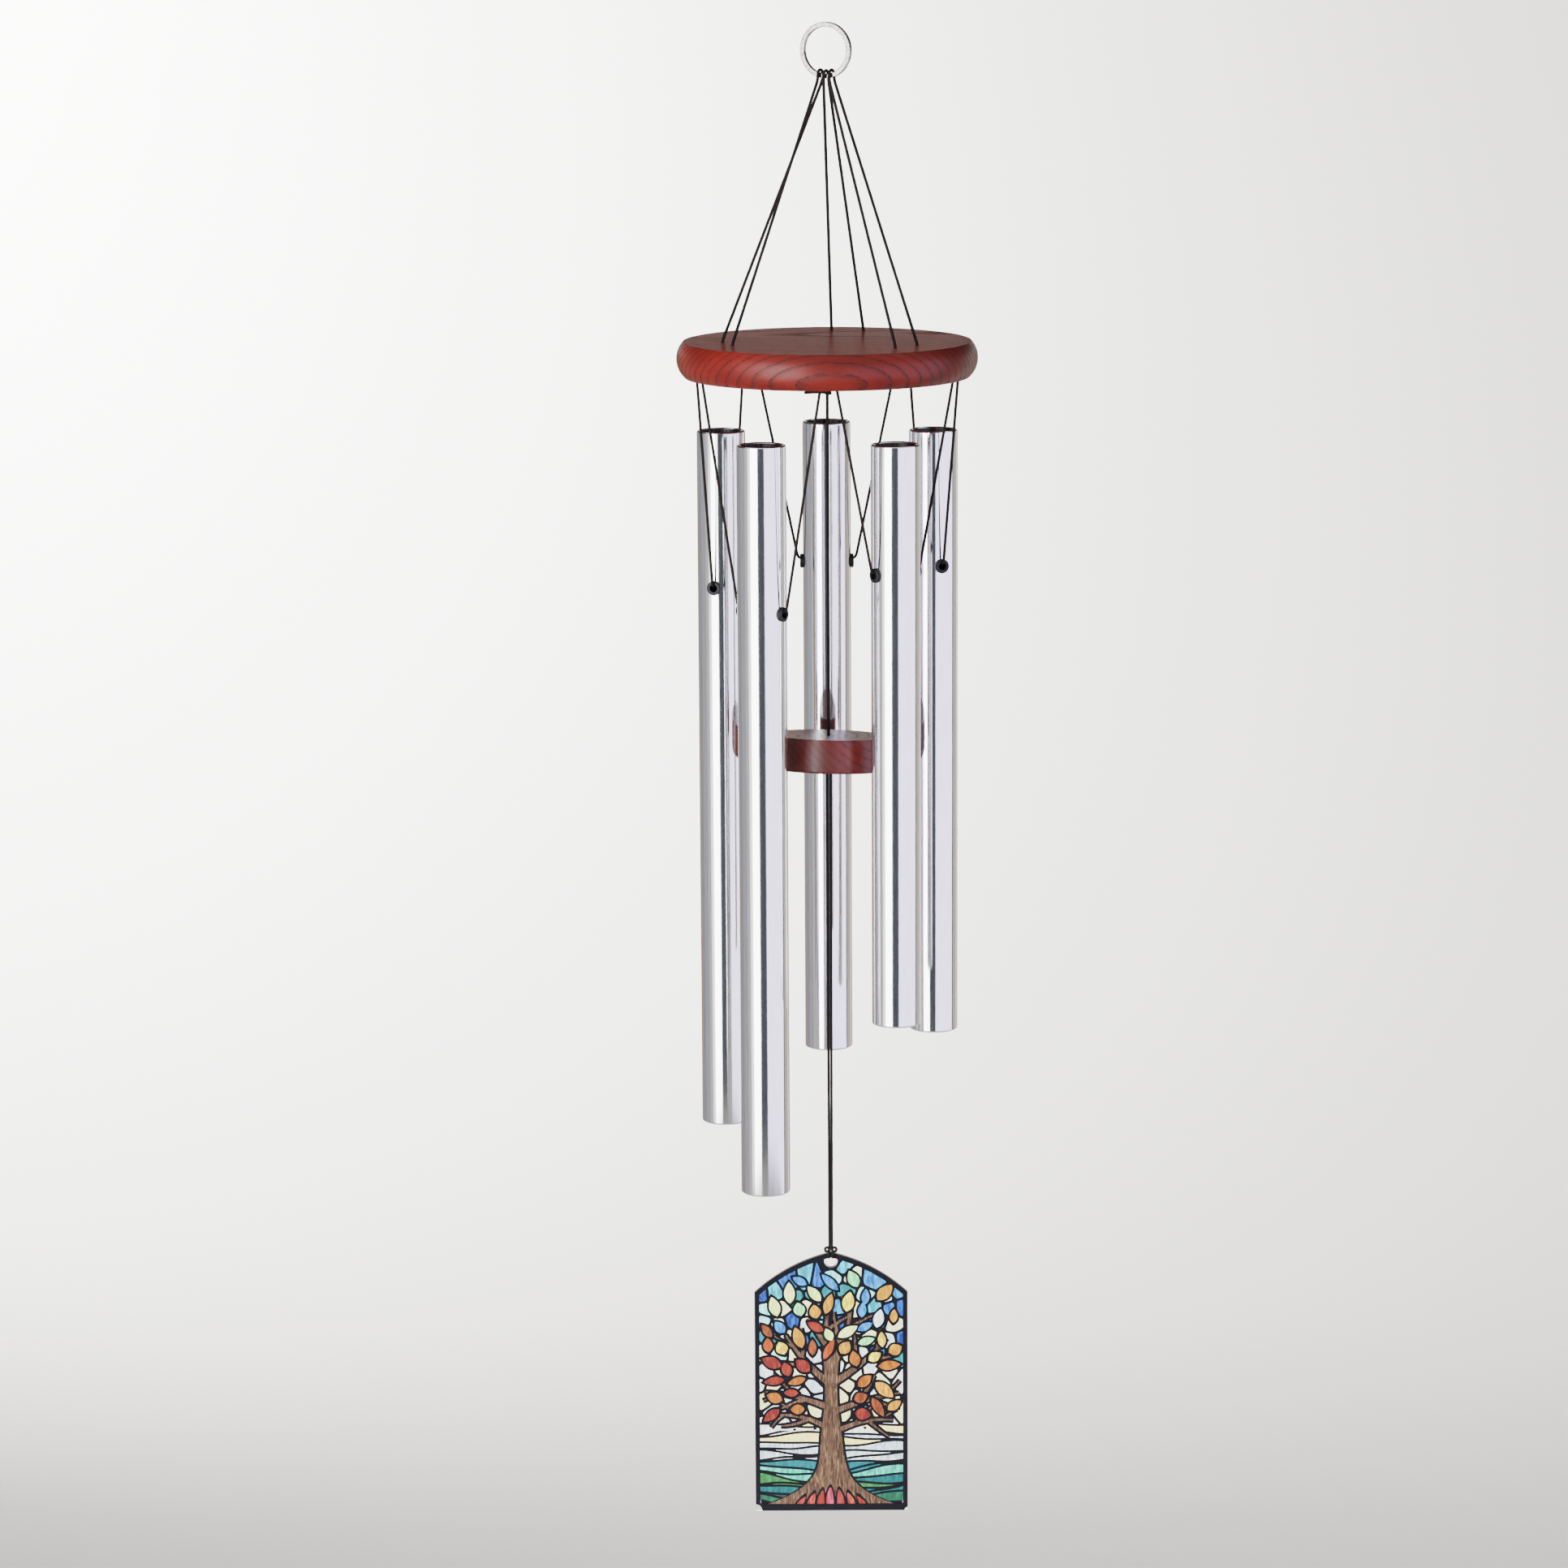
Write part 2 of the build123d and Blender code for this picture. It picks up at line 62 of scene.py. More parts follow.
# where each suspension cord stands on the platform: its pair of holes is centred on an angle
SUSPENSION = {"left": 198.0, "back": 78.0, "right": 318.0}      # degrees
SUSPENSION_CIRCLE = 47.5 * MM
HOLE_SPREAD = 9.0               # degrees from a pair's middle to each of its holes
RING_SPACING = 2.8 * MM         # between the loops of two cords on the ring


# ---------------------------------------------------------------- places read from the frame
def middle(node):
    """The middle of a CAD node's box, in metres."""
    low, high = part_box(node)
    return (low + high) / 2


def spin(x, y, angle):
    """A plan position turned about the chime's axis by an angle in radians."""
    return x * math.cos(angle) - y * math.sin(angle), x * math.sin(angle) + y * math.cos(angle)


def joint(name):
    """A joint of the frame, by name."""
    return next(entry for entry in frame["joints"] if entry["name"] == name)


def on_circle(angle, side):
    """One hole of a suspension cord's pair, as a plan position; side is -1 or 1."""
    turn = math.radians(angle) + side * math.radians(HOLE_SPREAD)
    return Vector((SUSPENSION_CIRCLE * math.cos(turn), SUSPENSION_CIRCLE * math.sin(turn), 0))


# ---------------------------------------------------------------- colour and node helpers
def hexa(text):
    """A linear RGBA colour from an sRGB hex value."""
    values = [int(text[i:i + 2], 16) / 255 for i in (1, 3, 5)]
    linear = [v / 12.92 if v <= 0.04045 else ((v + 0.055) / 1.055) ** 2.4 for v in values]
    return (*linear, 1.0)


def node(tree, kind, inputs=None, **settings):
    """Adds a node; each input is a number, a hex colour or the output of an earlier node."""
    made = tree.nodes.new(kind)
    for key, value in settings.items():
        setattr(made, key, value)
    for key, value in (inputs or {}).items():
        if isinstance(value, bpy.types.NodeSocket):
            tree.links.new(value, made.inputs[key])
        else:
            made.inputs[key].default_value = hexa(value) if isinstance(value, str) else value
    return made


def scaled(tree, where, scale, rotation=(0.0, 0.0, 0.0)):
    """Coordinates stretched and turned for a pattern."""
    inputs = {"Vector": where, "Scale": scale, "Rotation": rotation}
    return node(tree, "ShaderNodeMapping", inputs).outputs[0]


def noise(tree, where, scale, detail=2.0, roughness=0.5, distortion=0.0):
    """A noise pattern."""
    inputs = {"Vector": where, "Scale": scale, "Detail": detail, "Roughness": roughness,
              "Distortion": distortion}
    return node(tree, "ShaderNodeTexNoise", inputs).outputs["Fac"]


def remap(tree, value, to_min, to_max, from_min=0.0, from_max=1.0):
    """A value taken from one span to another, and held inside it."""
    inputs = {"Value": value, "From Min": from_min, "From Max": from_max,
              "To Min": to_min, "To Max": to_max}
    return node(tree, "ShaderNodeMapRange", inputs).outputs[0]


def maths(tree, operation, first, second):
    """Two values joined by an operation."""
    return node(tree, "ShaderNodeMath", {0: first, 1: second}, operation=operation).outputs[0]


def mixed(tree, factor, first, second):
    """Two colours mixed: a factor of 1 gives the second."""
    inputs = {"Factor": factor, "A": first, "B": second}
    return node(tree, "ShaderNodeMix", inputs, data_type="RGBA").outputs["Result"]


def bump(tree, height, strength, distance, invert=False):
    """A normal from a height pattern; the distance is in metres."""
    inputs = {"Height": height, "Strength": strength, "Distance": distance}
    return node(tree, "ShaderNodeBump", inputs, invert=invert).outputs[0]


def ramp(tree, source, *stops):
    """A colour ramp over a value: stops are pairs of a place and a hex colour."""
    made = node(tree, "ShaderNodeValToRGB", {0: source})
    elements = made.color_ramp.elements
    while len(elements) < len(stops):
        elements.new(0.5)
    for element, (place, colour) in zip(elements, stops):
        element.position = place
        element.color = hexa(colour)
    return made.outputs["Color"]


def new_material(name):
    """An empty node material and its tree."""
    material = bpy.data.materials.new(name)
    material.use_nodes = True
    tree = material.node_tree
    tree.nodes.clear()
    return material, tree


def places(tree):
    """The object coordinates that patterns are laid out in."""
    return node(tree, "ShaderNodeTexCoord").outputs["Object"]


def shaded(material, tree, inputs, kind="ShaderNodeBsdfPrincipled"):
    """Ends a material with its shader, joined to the output."""
    shader = node(tree, kind, inputs)
    node(tree, "ShaderNodeOutputMaterial", {0: shader.outputs[0]})
    return material


def dress(obj, *materials):
    """Gives an object its materials, in order."""
    obj.data.materials.clear()
    for material in materials:
        obj.data.materials.append(material)


# ---------------------------------------------------------------- materials
def polished_tube_aluminium():
    """Drawn 6063 aluminium tube, polished on a wheel: bright bands with a few faint pits."""
    material, tree = new_material("polished_drawn_aluminium")
    where = places(tree)
    # polishing marks run round and along the tube, about half a millimetre apart
    marks = noise(tree, scaled(tree, where, (1 / 0.6, 1 / 0.6, 1 / 14.0)), 1000.0, 3.0, 0.6)
    # pits and specks from handling, one or two in every square centimetre
    pits = node(tree, "ShaderNodeTexVoronoi", {"Vector": where, "Scale": 190.0, "Randomness": 1.0},
                feature="F1").outputs["Distance"]
    metal = ramp(tree, marks, (0.3, "#D9D9DE"), (0.7, "#EFEFF2"))
    return shaded(material, tree, {
        "Base Color": mixed(tree, remap(tree, pits, 0.0, 1.0, 0.02, 0.06), "#8E8F95", metal),
        "Roughness": remap(tree, marks, 0.075, 0.125),
        "Normal": bump(tree, marks, 0.12, 0.00004),
        "Metallic": 1.0,
    })


def bore_in_painted_shade():
    """The inside of the tubes as it leaves the die: dull, with drawing lines; its near-black grey
    is painted shade for the dark bore.
    """
    material, tree = new_material("bore_painted_shade_grey")
    where = places(tree)
    lines = noise(tree, scaled(tree, where, (1.0, 1.0, 0.03)), 1400.0)
    # near-black greys: painted shade inside the bore, with the drawing lines in it
    return shaded(material, tree, {
        "Base Color": ramp(tree, lines, (0.35, "#1C1B1D"), (0.7, "#3B3A3D")),
        "Roughness": 0.42,
        "Metallic": 1.0,
    })


def nickel_ring():
    """Nickel-plated steel ring, tumbled: bright with a soft blur and fine wear."""
    material, tree = new_material("tumbled_nickel_plate")
    where = places(tree)
    scuffs = noise(tree, where, 900.0, 4.0)
    return shaded(material, tree, {
        "Base Color": ramp(tree, scuffs, (0.35, "#8E8A85"), (0.65, "#C6C2BD")),
        "Roughness": remap(tree, scuffs, 0.12, 0.26),
        "Normal": bump(tree, scuffs, 0.15, 0.00003),
        "Metallic": 1.0,
    })


def stained_ash(name, pith, lean, ring_width, strength, coat):
    """Ash stained cherry red under satin lacquer: a red ground with dark, ring-porous grain.

    The fibres run along the turned local X axis, and the growth rings are cylinders about the
    pith. Strength mixes the colour towards near-black, darkening the whole piece evenly, and
    coat is the weight of the lacquer.
    """
    stain = settings()
    material, tree = new_material(name)
    where = places(tree)
    log = node(tree, "ShaderNodeMapping", {"Vector": where, "Location": pith, "Rotation": lean},
               vector_type="TEXTURE").outputs[0]
    # growth rings waver slowly along the fibres; a wave's period is 2 pi / 20 over its scale
    drawn = scaled(tree, log, (0.16, 1.0, 1.0))
    rings = node(tree, "ShaderNodeTexWave",
                 {"Vector": drawn, "Scale": 2 * math.pi / 20 / ring_width, "Distortion": 2.2,
                  "Detail": 3.0, "Detail Scale": 0.35, "Detail Roughness": 0.6},
                 wave_type="RINGS", rings_direction="X", wave_profile="SAW").outputs["Fac"]
    # pores: short dark dashes, 0.35 mm wide and some 7 mm long
    pores = noise(tree, scaled(tree, log, (1 / 7.0, 1 / 0.35, 1 / 0.35)), 1000.0, 2.0, 0.55)
    clouds = noise(tree, drawn, 70.0, 3.0, distortion=0.4)
    ground = ramp(tree, clouds, (0.3, stain.wood_dark), (0.5, stain.wood_mid),
                  (0.7, stain.wood_light))
    # strength darkens the whole piece evenly towards near-black
    ground = mixed(tree, strength, ground, "#1C0605")
    # pores crowd in the early wood of each ring, and a few stand between the rings
    early = remap(tree, rings, 1.0, 0.0, 0.0, 0.38)
    in_rings = maths(tree, "MULTIPLY", early, remap(tree, pores, 0.0, 1.0, 0.36, 0.56))
    grain = maths(tree, "MAXIMUM", in_rings, remap(tree, pores, 0.0, 0.4, 0.58, 0.72))
    return shaded(material, tree, {
        "Base Color": mixed(tree, grain, ground, stain.wood_pore),
        "Roughness": remap(tree, grain, 0.34, 0.6),
        "Normal": bump(tree, grain, 0.5, 0.00012, invert=True),
        "Coat Weight": coat,
        "Coat Roughness": 0.3,
        "IOR": 1.25,
    })


def twisted_cord():
    """Twisted and waxed polyester cord: near-black with a faint brown sheen on the turns."""
    material, tree = new_material("twisted_polyester_cord")
    where = places(tree)
    fibres = noise(tree, where, 4200.0)
    return shaded(material, tree, {
        "Base Color": ramp(tree, fibres, (0.35, settings().cord_dark),
                           (0.7, settings().cord_light)),
        "Normal": bump(tree, fibres, 0.35, 0.00006),
        "Roughness": 0.8,
        "IOR": 1.2,
    })


def moulded_rubber():
    """Moulded EPDM rubber: black with a low, slightly uneven shine and a dusty bloom."""
    material, tree = new_material("moulded_black_rubber")
    where = places(tree)
    bloom = noise(tree, where, 1300.0, 3.0)
    return shaded(material, tree, {
        "Base Color": ramp(tree, bloom, (0.4, "#08080A"), (0.75, "#131317")),
        "Roughness": remap(tree, bloom, 0.42, 0.6),
        "IOR": 1.3,
    })


def clear_acrylic():
    """Cast acrylic sheet with sawn and flamed edges: clear, with bright edges."""
    material, tree = new_material("cast_clear_acrylic")
    where = places(tree)
    return shaded(material, tree, {
        "Base Color": "#F4F6F4",
        "Roughness": remap(tree, noise(tree, where, 1500.0), 0.02, 0.16),
        "Transmission Weight": 0.92,
        "IOR": 1.49,
    })


def black_ink():
    """Screen-printed black ink: the leads and the border, blue-black with a satin film."""
    material, tree = new_material("screen_printed_black_ink")
    where = places(tree)
    film = noise(tree, where, 900.0, 3.0)
    return shaded(material, tree, {
        "Base Color": ramp(tree, film, (0.35, "#0B0A10"), (0.7, "#14131B")),
        "Roughness": 0.2,
        "IOR": 1.4,
    })


def colour_ink():
    """Digital print of hand-painted glass: each tint runs in soft streaks from pale to deep."""
    material, tree = new_material("printed_glass_tints")
    where = places(tree)
    tint, deep = (node(tree, "ShaderNodeAttribute", attribute_name=name).outputs["Color"]
                  for name in ("tint", "deep"))
    # streaks about 1.5 mm wide and 6 mm long, leaning as brushed glass paint does
    leaned = scaled(tree, where, (1 / 1.6, 1.0, 1 / 5.5), (0.0, 0.6, 0.0))
    streaks = noise(tree, leaned, 1000.0, 3.0, distortion=0.8)
    return shaded(material, tree, {
        "Base Color": mixed(tree, remap(tree, streaks, 0.0, 1.0, 0.4, 0.6), tint, deep),
        "Roughness": 0.25,
        "IOR": 1.4,
    })


def bark_ink():
    """The print's bark: brown strokes that climb the trunk and follow the limbs."""
    material, tree = new_material("printed_bark_strokes")
    where = places(tree)
    climbing = scaled(tree, where, (1 / 0.7, 1.0, 1 / 6.0), (0.0, 0.35, 0.0))
    strokes = noise(tree, climbing, 1000.0, 4.0, distortion=1.2)
    return shaded(material, tree, {
        "Base Color": ramp(tree, strokes, (0.34, "#2E221A"), (0.46, "#49362A"),
                           (0.58, "#5E4735"), (0.7, "#8A6B4C")),
        "Roughness": 0.25,
        "IOR": 1.4,
    })


# ---------------------------------------------------------------- mesh helpers
def only(obj):
    """Selects one object and makes it active."""
    bpy.ops.object.select_all(action="DESELECT")
    obj.select_set(True)
    bpy.context.view_layer.objects.active = obj


def settle(obj):
    """Puts a finished piece's place into its mesh, with its object at the origin."""
    only(obj)
    bpy.ops.object.transform_apply(location=True, rotation=True, scale=True)


def apply_all(obj):
    """Applies every modifier of a piece, in order."""
    only(obj)
    for modifier in list(obj.modifiers):
        bpy.ops.object.modifier_apply(modifier=modifier.name)


def smooth(obj, angle=35):
    """Smooth shading that keeps edges sharper than an angle in degrees."""
    only(obj)
    bpy.ops.object.shade_smooth_by_angle(angle=math.radians(angle))


def mesh_piece(name, verts, faces):
    """A new piece from points in metres and faces."""
    mesh = bpy.data.meshes.new(name)
    mesh.from_pydata([tuple(v) for v in verts], [], faces)
    mesh.update()
    obj = bpy.data.objects.new(name, mesh)
    bpy.context.scene.collection.objects.link(obj)
    return obj


# ---------------------------------------------------------------- cords
def route_points(points):
    """The points along a smooth NURBS line whose control points are given in metres."""
    curve = bpy.data.curves.new("route", "CURVE")
    curve.dimensions = "3D"
    curve.resolution_u = 10
    spline = curve.splines.new("NURBS")
    spline.points.add(len(points) - 1)
    for knot, place in zip(spline.points, points):
        knot.co = (*place, 1.0)
    spline.order_u = 3
    spline.use_endpoint_u = True
    holder = bpy.data.objects.new("route", curve)
    bpy.context.scene.collection.objects.link(holder)
    bpy.context.view_layer.update()
    evaluated = holder.evaluated_get(bpy.context.evaluated_depsgraph_get())
    line = bpy.data.meshes.new_from_object(evaluated)
    found = [v.co.copy() for v in line.vertices]
    bpy.data.objects.remove(holder)
    bpy.data.meshes.remove(line)
    return found


def even(points, step):
    """The same line with its points spread evenly, about a step apart."""
    lengths = [0.0]
    for a, b in zip(points, points[1:]):
        lengths.append(lengths[-1] + (b - a).length)
    count = max(2, round(lengths[-1] / step))
    spread, index = [], 0
    for i in range(count + 1):
        at = lengths[-1] * i / count
        while index < len(points) - 2 and lengths[index + 1] < at:
            index += 1
        span = lengths[index + 1] - lengths[index]
        share = (at - lengths[index]) / span if span else 0
        spread.append(points[index].lerp(points[index + 1], share))
    return spread


def twisted(points, radius, pitch, step=0.55 * MM, sides=12, strands=3):
    """Rings of a twisted cord along a line: the strands show as lobes that turn with the lay."""
    line = even(points, step)
    verts, faces = [], []
    tangent = (line[1] - line[0]).normalized()
    across = tangent.orthogonal().normalized()
    travelled = 0.0
    for i, place in enumerate(line):
        ahead = (line[min(i + 1, len(line) - 1)] - line[max(i - 1, 0)]).normalized()
        across = (tangent.rotation_difference(ahead) @ across).normalized()
        tangent = ahead
        up = tangent.cross(across)
        if i:
            travelled += (place - line[i - 1]).length
        lay = 2 * math.pi * travelled / pitch
        end = 0.55 if i in (0, len(line) - 1) else 1.0
        for k in range(sides):
            turn = 2 * math.pi * k / sides
            lobe = 1.04 + 0.08 * math.cos(strands * (turn - lay))
            outward = across * math.cos(turn) + up * math.sin(turn)
            verts.append(place + outward * radius * lobe * end)
    for i in range(len(line) - 1):
        for k in range(sides):
            a, b = i * sides + k, i * sides + (k + 1) % sides
            faces.append((a, b, b + sides, a + sides))
    faces.append(tuple(reversed(range(sides))))
    faces.append(tuple(range((len(line) - 1) * sides, len(line) * sides)))
    return verts, faces


def cord_piece(name, lines, radius, pitch, material):
    """One piece from one or more twisted lines."""
    verts, faces = [], []
    for line in lines:
        more_verts, more_faces = twisted(line, radius, pitch)
        faces += [tuple(i + len(verts) for i in face) for face in more_faces]
        verts += more_verts
    obj = mesh_piece(name, verts, faces)
    dress(obj, material)
    smooth(obj, 60)
    return obj


def finish_piece(obj, body, slot, *nodes):
    """Settles what a piece rides on and the CAD nodes that it stands for. The slot is not used."""
    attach(obj, body)
    if nodes:
        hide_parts(*nodes)


def knot_line(centre, size, turn=0.0):
    """A tight overhand knot: an open three-lobed line, size being its half width."""
    points = []
    for i in range(40):
        t = math.radians(20) + (2 * math.pi - math.radians(40)) * i / 39
        x = math.sin(t) + 2 * math.sin(2 * t)
        y = math.cos(t) - 2 * math.cos(2 * t)
        z = -math.sin(3 * t) * 1.4
        px, py = spin(x, y, turn)
        points.append(centre + Vector((px, py, z)) * size / 3.0)
    return points


# ---------------------------------------------------------------- the sail's print
BLACK, TINTED, BARK = 0, 1, 2           # kinds of pane, in the order of the inks
# heights of the layers above the panel, in mm
BACKING_LEVEL, SKY_LEVEL, HILL_LEVEL = 0.01, 0.04, 0.07
LIMB_LEAD_LEVEL, LIMB_LEVEL = 0.10, 0.13
LEAF_LEAD_LEVEL, LEAF_LEVEL, BORDER_LEVEL = 0.16, 0.19, 0.22
LEVEL_STEP, LEVEL_STEPS = 0.0012, 23    # keep panes of one layer off each other
PICTURE_INSET = 2.1             # from the panel's edge to the picture's, in mm
RING_INSIDE, RING_OUTSIDE = 3.15, 4.3   # radii of the black ring round the hole, in mm


class Artwork:
    """A flat picture in leaded panes, gathered as faces before it becomes a mesh.

    Places are in millimetres, u to the right and v up from the middle of the sail's hole.
    """

    def __init__(self, half_width, bottom, lead, rng):
        self.half_width, self.bottom, self.lead, self.rng = half_width, bottom, lead, rng
        self.floor = bottom + PICTURE_INSET
        self.verts, self.faces, self.kinds, self.tints, self.deeps = [], [], [], [], []

    def pane(self, outline, level, kind, tint="#000000", deep=None):
        """One flat pane, level being its height above the panel."""
        outline = [point for i, point in enumerate(outline)
                   if math.dist(point, outline[i - 1]) > 1e-5]
        if len(outline) < 3:
            return
        start = len(self.verts)
        level += LEVEL_STEP * (len(self.faces) % LEVEL_STEPS)
        self.verts += [(u, level, v) for u, v in outline]
        self.faces.append(tuple(range(start, len(self.verts))))
        self.kinds.append(kind)
        self.tints.append(hexa(tint))
        self.deeps.append(hexa(deep or tint))

    def mesh(self, name, centre, face_y, side, inks):
        """The picture as low relief on one face of the panel."""
        verts = [centre + Vector((u * MM, 0, v * MM)) for u, _, v in self.verts]
        for vert, (_, level, _) in zip(verts, self.verts):
            vert.y = face_y + side * level * MM
        obj = mesh_piece(name, verts, self.faces)
        dress(obj, *inks)
        obj.data.polygons.foreach_set("material_index", self.kinds)
        for label, values in (("tint", self.tints), ("deep", self.deeps)):
            layer = obj.data.color_attributes.new(label, "FLOAT_COLOR", "CORNER")
            for polygon, colour in zip(obj.data.polygons, values):
                for corner in polygon.loop_indices:
                    layer.data[corner].color = colour
        mesh = bmesh.new()
        mesh.from_mesh(obj.data)
        outward = Vector((0, side, 0))
        wrong = [face for face in mesh.faces if face.normal.dot(outward) < 0]
        bmesh.ops.reverse_faces(mesh, faces=wrong)
        mesh.to_mesh(obj.data)
        mesh.free()
        return obj


def arch(u, inset=0.0):
    """The height of the sail's pointed arch at u, inset by a border."""
    radius, centre_u, centre_v = 79.0, 18.3, -72.6
    return centre_v + math.sqrt((radius - inset) ** 2 - (abs(u) + centre_u) ** 2)


def sail_outline(half_width, bottom, inset, notches=(0.0, 0.0), steps=14, notch_steps=5):
    """The panel's outline, or the picture's when inset, with its lower corners cut round."""
    half = half_width - inset
    low = bottom + inset
    points = []
    for side, notch in zip((-1, 1), notches):
        for i in range(notch_steps + 1):
            turn = math.pi / 2 * (i if side > 0 else notch_steps - i) / notch_steps
            arm = (-side * math.cos(turn) * notch, math.sin(turn) * notch)
            points.append((side * half + arm[0], low + arm[1]))
    across = [half - 2 * half * i / (2 * steps) for i in range(2 * steps + 1)]
    return points + [(u, arch(u, inset)) for u in across]


def clip(outline, point, normal):
    """The part of a convex outline on the side of a line that its normal points away from."""
    kept = []
    for (ax, ay), (bx, by) in zip(outline, outline[1:] + outline[:1]):
        da = (ax - point[0]) * normal[0] + (ay - point[1]) * normal[1]
        db = (bx - point[0]) * normal[0] + (by - point[1]) * normal[1]
        if da <= 0:
            kept.append((ax, ay))
        if da * db < 0:
            t = da / (da - db)
            kept.append((ax + (bx - ax) * t, ay + (by - ay) * t))
    return kept


def soften(outline, rounds=2, cut=0.22):
    """Rounds an outline's corners by cutting them."""
    for _ in range(rounds):
        softer = []
        for (ax, ay), (bx, by) in zip(outline, outline[1:] + outline[:1]):
            softer.append((ax + (bx - ax) * cut, ay + (by - ay) * cut))
            softer.append((bx - (bx - ax) * cut, by - (by - ay) * cut))
        outline = softer
    return outline


def glass_cells(region, seeds, lead):
    """The panes nearest to each seed, with a lead's width between neighbours."""
    cells = []
    for i, (su, sv) in enumerate(seeds):
        cell = region
        for j, (tu, tv) in enumerate(seeds):
            gap = math.hypot(tu - su, tv - sv)
            if i == j or gap > 28:
                continue
            normal = ((tu - su) / gap, (tv - sv) / gap)
            point = (su + normal[0] * (gap - lead) / 2, sv + normal[1] * (gap - lead) / 2)
            cell = clip(cell, point, normal)
            if len(cell) < 3:
                break
        if len(cell) >= 3:
            cells.append(((su, sv), cell))
    return cells


def leaf(u, v, length, width, angle, grow=0.0):
    """A pointed leaf outline about its middle, grown all round for its lead."""
    points = []
    steps = 9
    half = length / 2 + grow * 1.6
    for side in (1, -1):
        for i in range(steps):
            t = i / steps if side > 0 else 1 - i / steps
            x = -half + 2 * half * t
            y = side * (width / 2 + grow) * math.sin(math.pi * t) ** 0.75 * (1.12 - 0.3 * t)
            px, py = spin(x, y, angle)
            points.append((u + px, v + py))
    return points


def limb(points, start_width, end_width, grow=0.0):
    """A tapering limb along a line of points, grown on each side for its lead."""
    left, right = [], []
    for i, (u, v) in enumerate(points):
        a, b = points[max(i - 1, 0)], points[min(i + 1, len(points) - 1)]
        run = math.hypot(b[0] - a[0], b[1] - a[1])
        nu, nv = -(b[1] - a[1]) / run, (b[0] - a[0]) / run
        half = (start_width + (end_width - start_width) * i / (len(points) - 1)) / 2 + grow
        left.append((u + nu * half, v + nv * half))
        right.append((u - nu * half, v - nv * half))
    return left, right


def sweep_limb(start, angle, length, bend, steps=9):
    """The points of a limb that sets out at an angle and bends steadily, in degrees."""
    points = [start]
    for i in range(steps):
        heading = math.radians(angle + bend * i / steps)
        u, v = points[-1]
        points.append((u + math.cos(heading) * length / steps,
                       v + math.sin(heading) * length / steps))
    return points


# each pane runs from its first tint to its second
SKY = [("#03A0D9", "#0356A1"), ("#0358B3", "#172976"), ("#03D7EF", "#038799"),
       ("#03868F", "#036C6D"), ("#03EDFF", "#DAFFFF"), ("#BAFFFF", "#43D9D5"),
       ("#F8FFF3", "#B7DACF"), ("#0378D0", "#054096"), ("#FFFFC2", "#D3E7B5")]
PALE = [("#FFFFF3", "#C3D9D5"), ("#FFFFBB", "#E9EA9B"), ("#E4F6FF", "#B4C3DB"),
        ("#FFFFD2", "#C6FFAC")]
HIGH_LEAVES = [("#E9F517", "#92AC34"), ("#FFFF03", "#CCA703"), ("#0697DF", "#0352A6"),
               ("#FFFF9A", "#BFED75"), ("#C89803", "#A16E03"), ("#A9FF96", "#38CE82"),
               ("#F8FFF3", "#B7DACF")]
WARM_LEAVES = [("#AB6603", "#834513"), ("#8F471A", "#5F2F1B"), ("#C89803", "#A16E03"),
               ("#862C1D", "#5F1E1A"), ("#FFFF03", "#CCA703"), ("#AF5103", "#873711"),
               ("#E5AF03", "#AB6603")]
HILLS = [("#FFFFFA", "#CCCAD5"), ("#FFFFA3", "#FFEC6C"), ("#DBF3FC", "#A1B7C6"),
         ("#E9F5F0", "#A1B7C6"), ("#036F79", "#045C63"), ("#03DDB5", "#038B82"),
         ("#2D813E", "#226234"), ("#036265", "#104B51"), ("#196144", "#174A3A"),
         ("#314B44", "#253936")]
RED_PANES = [("#9B2F2C", "#712526"), ("#B04A3A", "#7A2420"), ("#862C1D", "#5F1E1A"),
             ("#C23A62", "#8A2A3A")]

CLEAR_CORNERS = (3.1, 1.5)      # radii left clear at the panel's two lower corners, in mm
HORIZON = -79.0
HILL_BANDS = 9
FORK = -46.0                    # where the trunk ends
HITCH_DROP = 3.775 * MM         # from the sail's hinge down to the middle of its hole


def hill_height(index, u):
    """The crest of one band of hills: low waves far away, a valley that rises to the sides near."""
    base = HORIZON - 4.6 * index
    wave = 0.9 * math.sin(u / 9.0 + index * 2.1) + 0.5 * math.sin(u / 5.3 + index * 4.4)
    valley = 0.13 * max(0.0, abs(u) - 5.0) * min(max(index - 2, 0), 4) / 4
    return base + wave + valley


def paint_sky(art):
    """Panes of sky behind the crown: blue above, cream and grey below."""
    rng = art.rng
    region = clip(sail_outline(art.half_width, art.bottom, PICTURE_INSET),
                  (0.0, HORIZON - 3.0), (0.0, -1.0))
    seeds = []
    for row in range(12):
        for column in range(9):
            u = -33.5 + 8.1 * column + rng.uniform(-2.6, 2.6) + (row % 2) * 4.0
            v = -1.5 - 7.2 * row + rng.uniform(-2.4, 2.4)
            if v < HORIZON - 4.0 or v > arch(min(abs(u), 35.0), 2.6):
                continue
            if abs(u) < 34.5 and math.hypot(u, v) > 5.0:
                seeds.append((u, v))
    for (u, v), cell in glass_cells(region, seeds, art.lead):
        away = math.hypot(u, v)
        if away < 16:
            cell = clip(cell, (u / away * 4.2, v / away * 4.2), (-u / away, -v / away))
        blue = rng.random() < 0.95 - abs(v + 10) / 52 + abs(u) / 90
        tint, deep = rng.choice(SKY if blue and v > -60 else PALE)
        if len(cell) > 2:
            art.pane(soften(cell, 2, 0.16), SKY_LEVEL, TINTED, tint, deep)


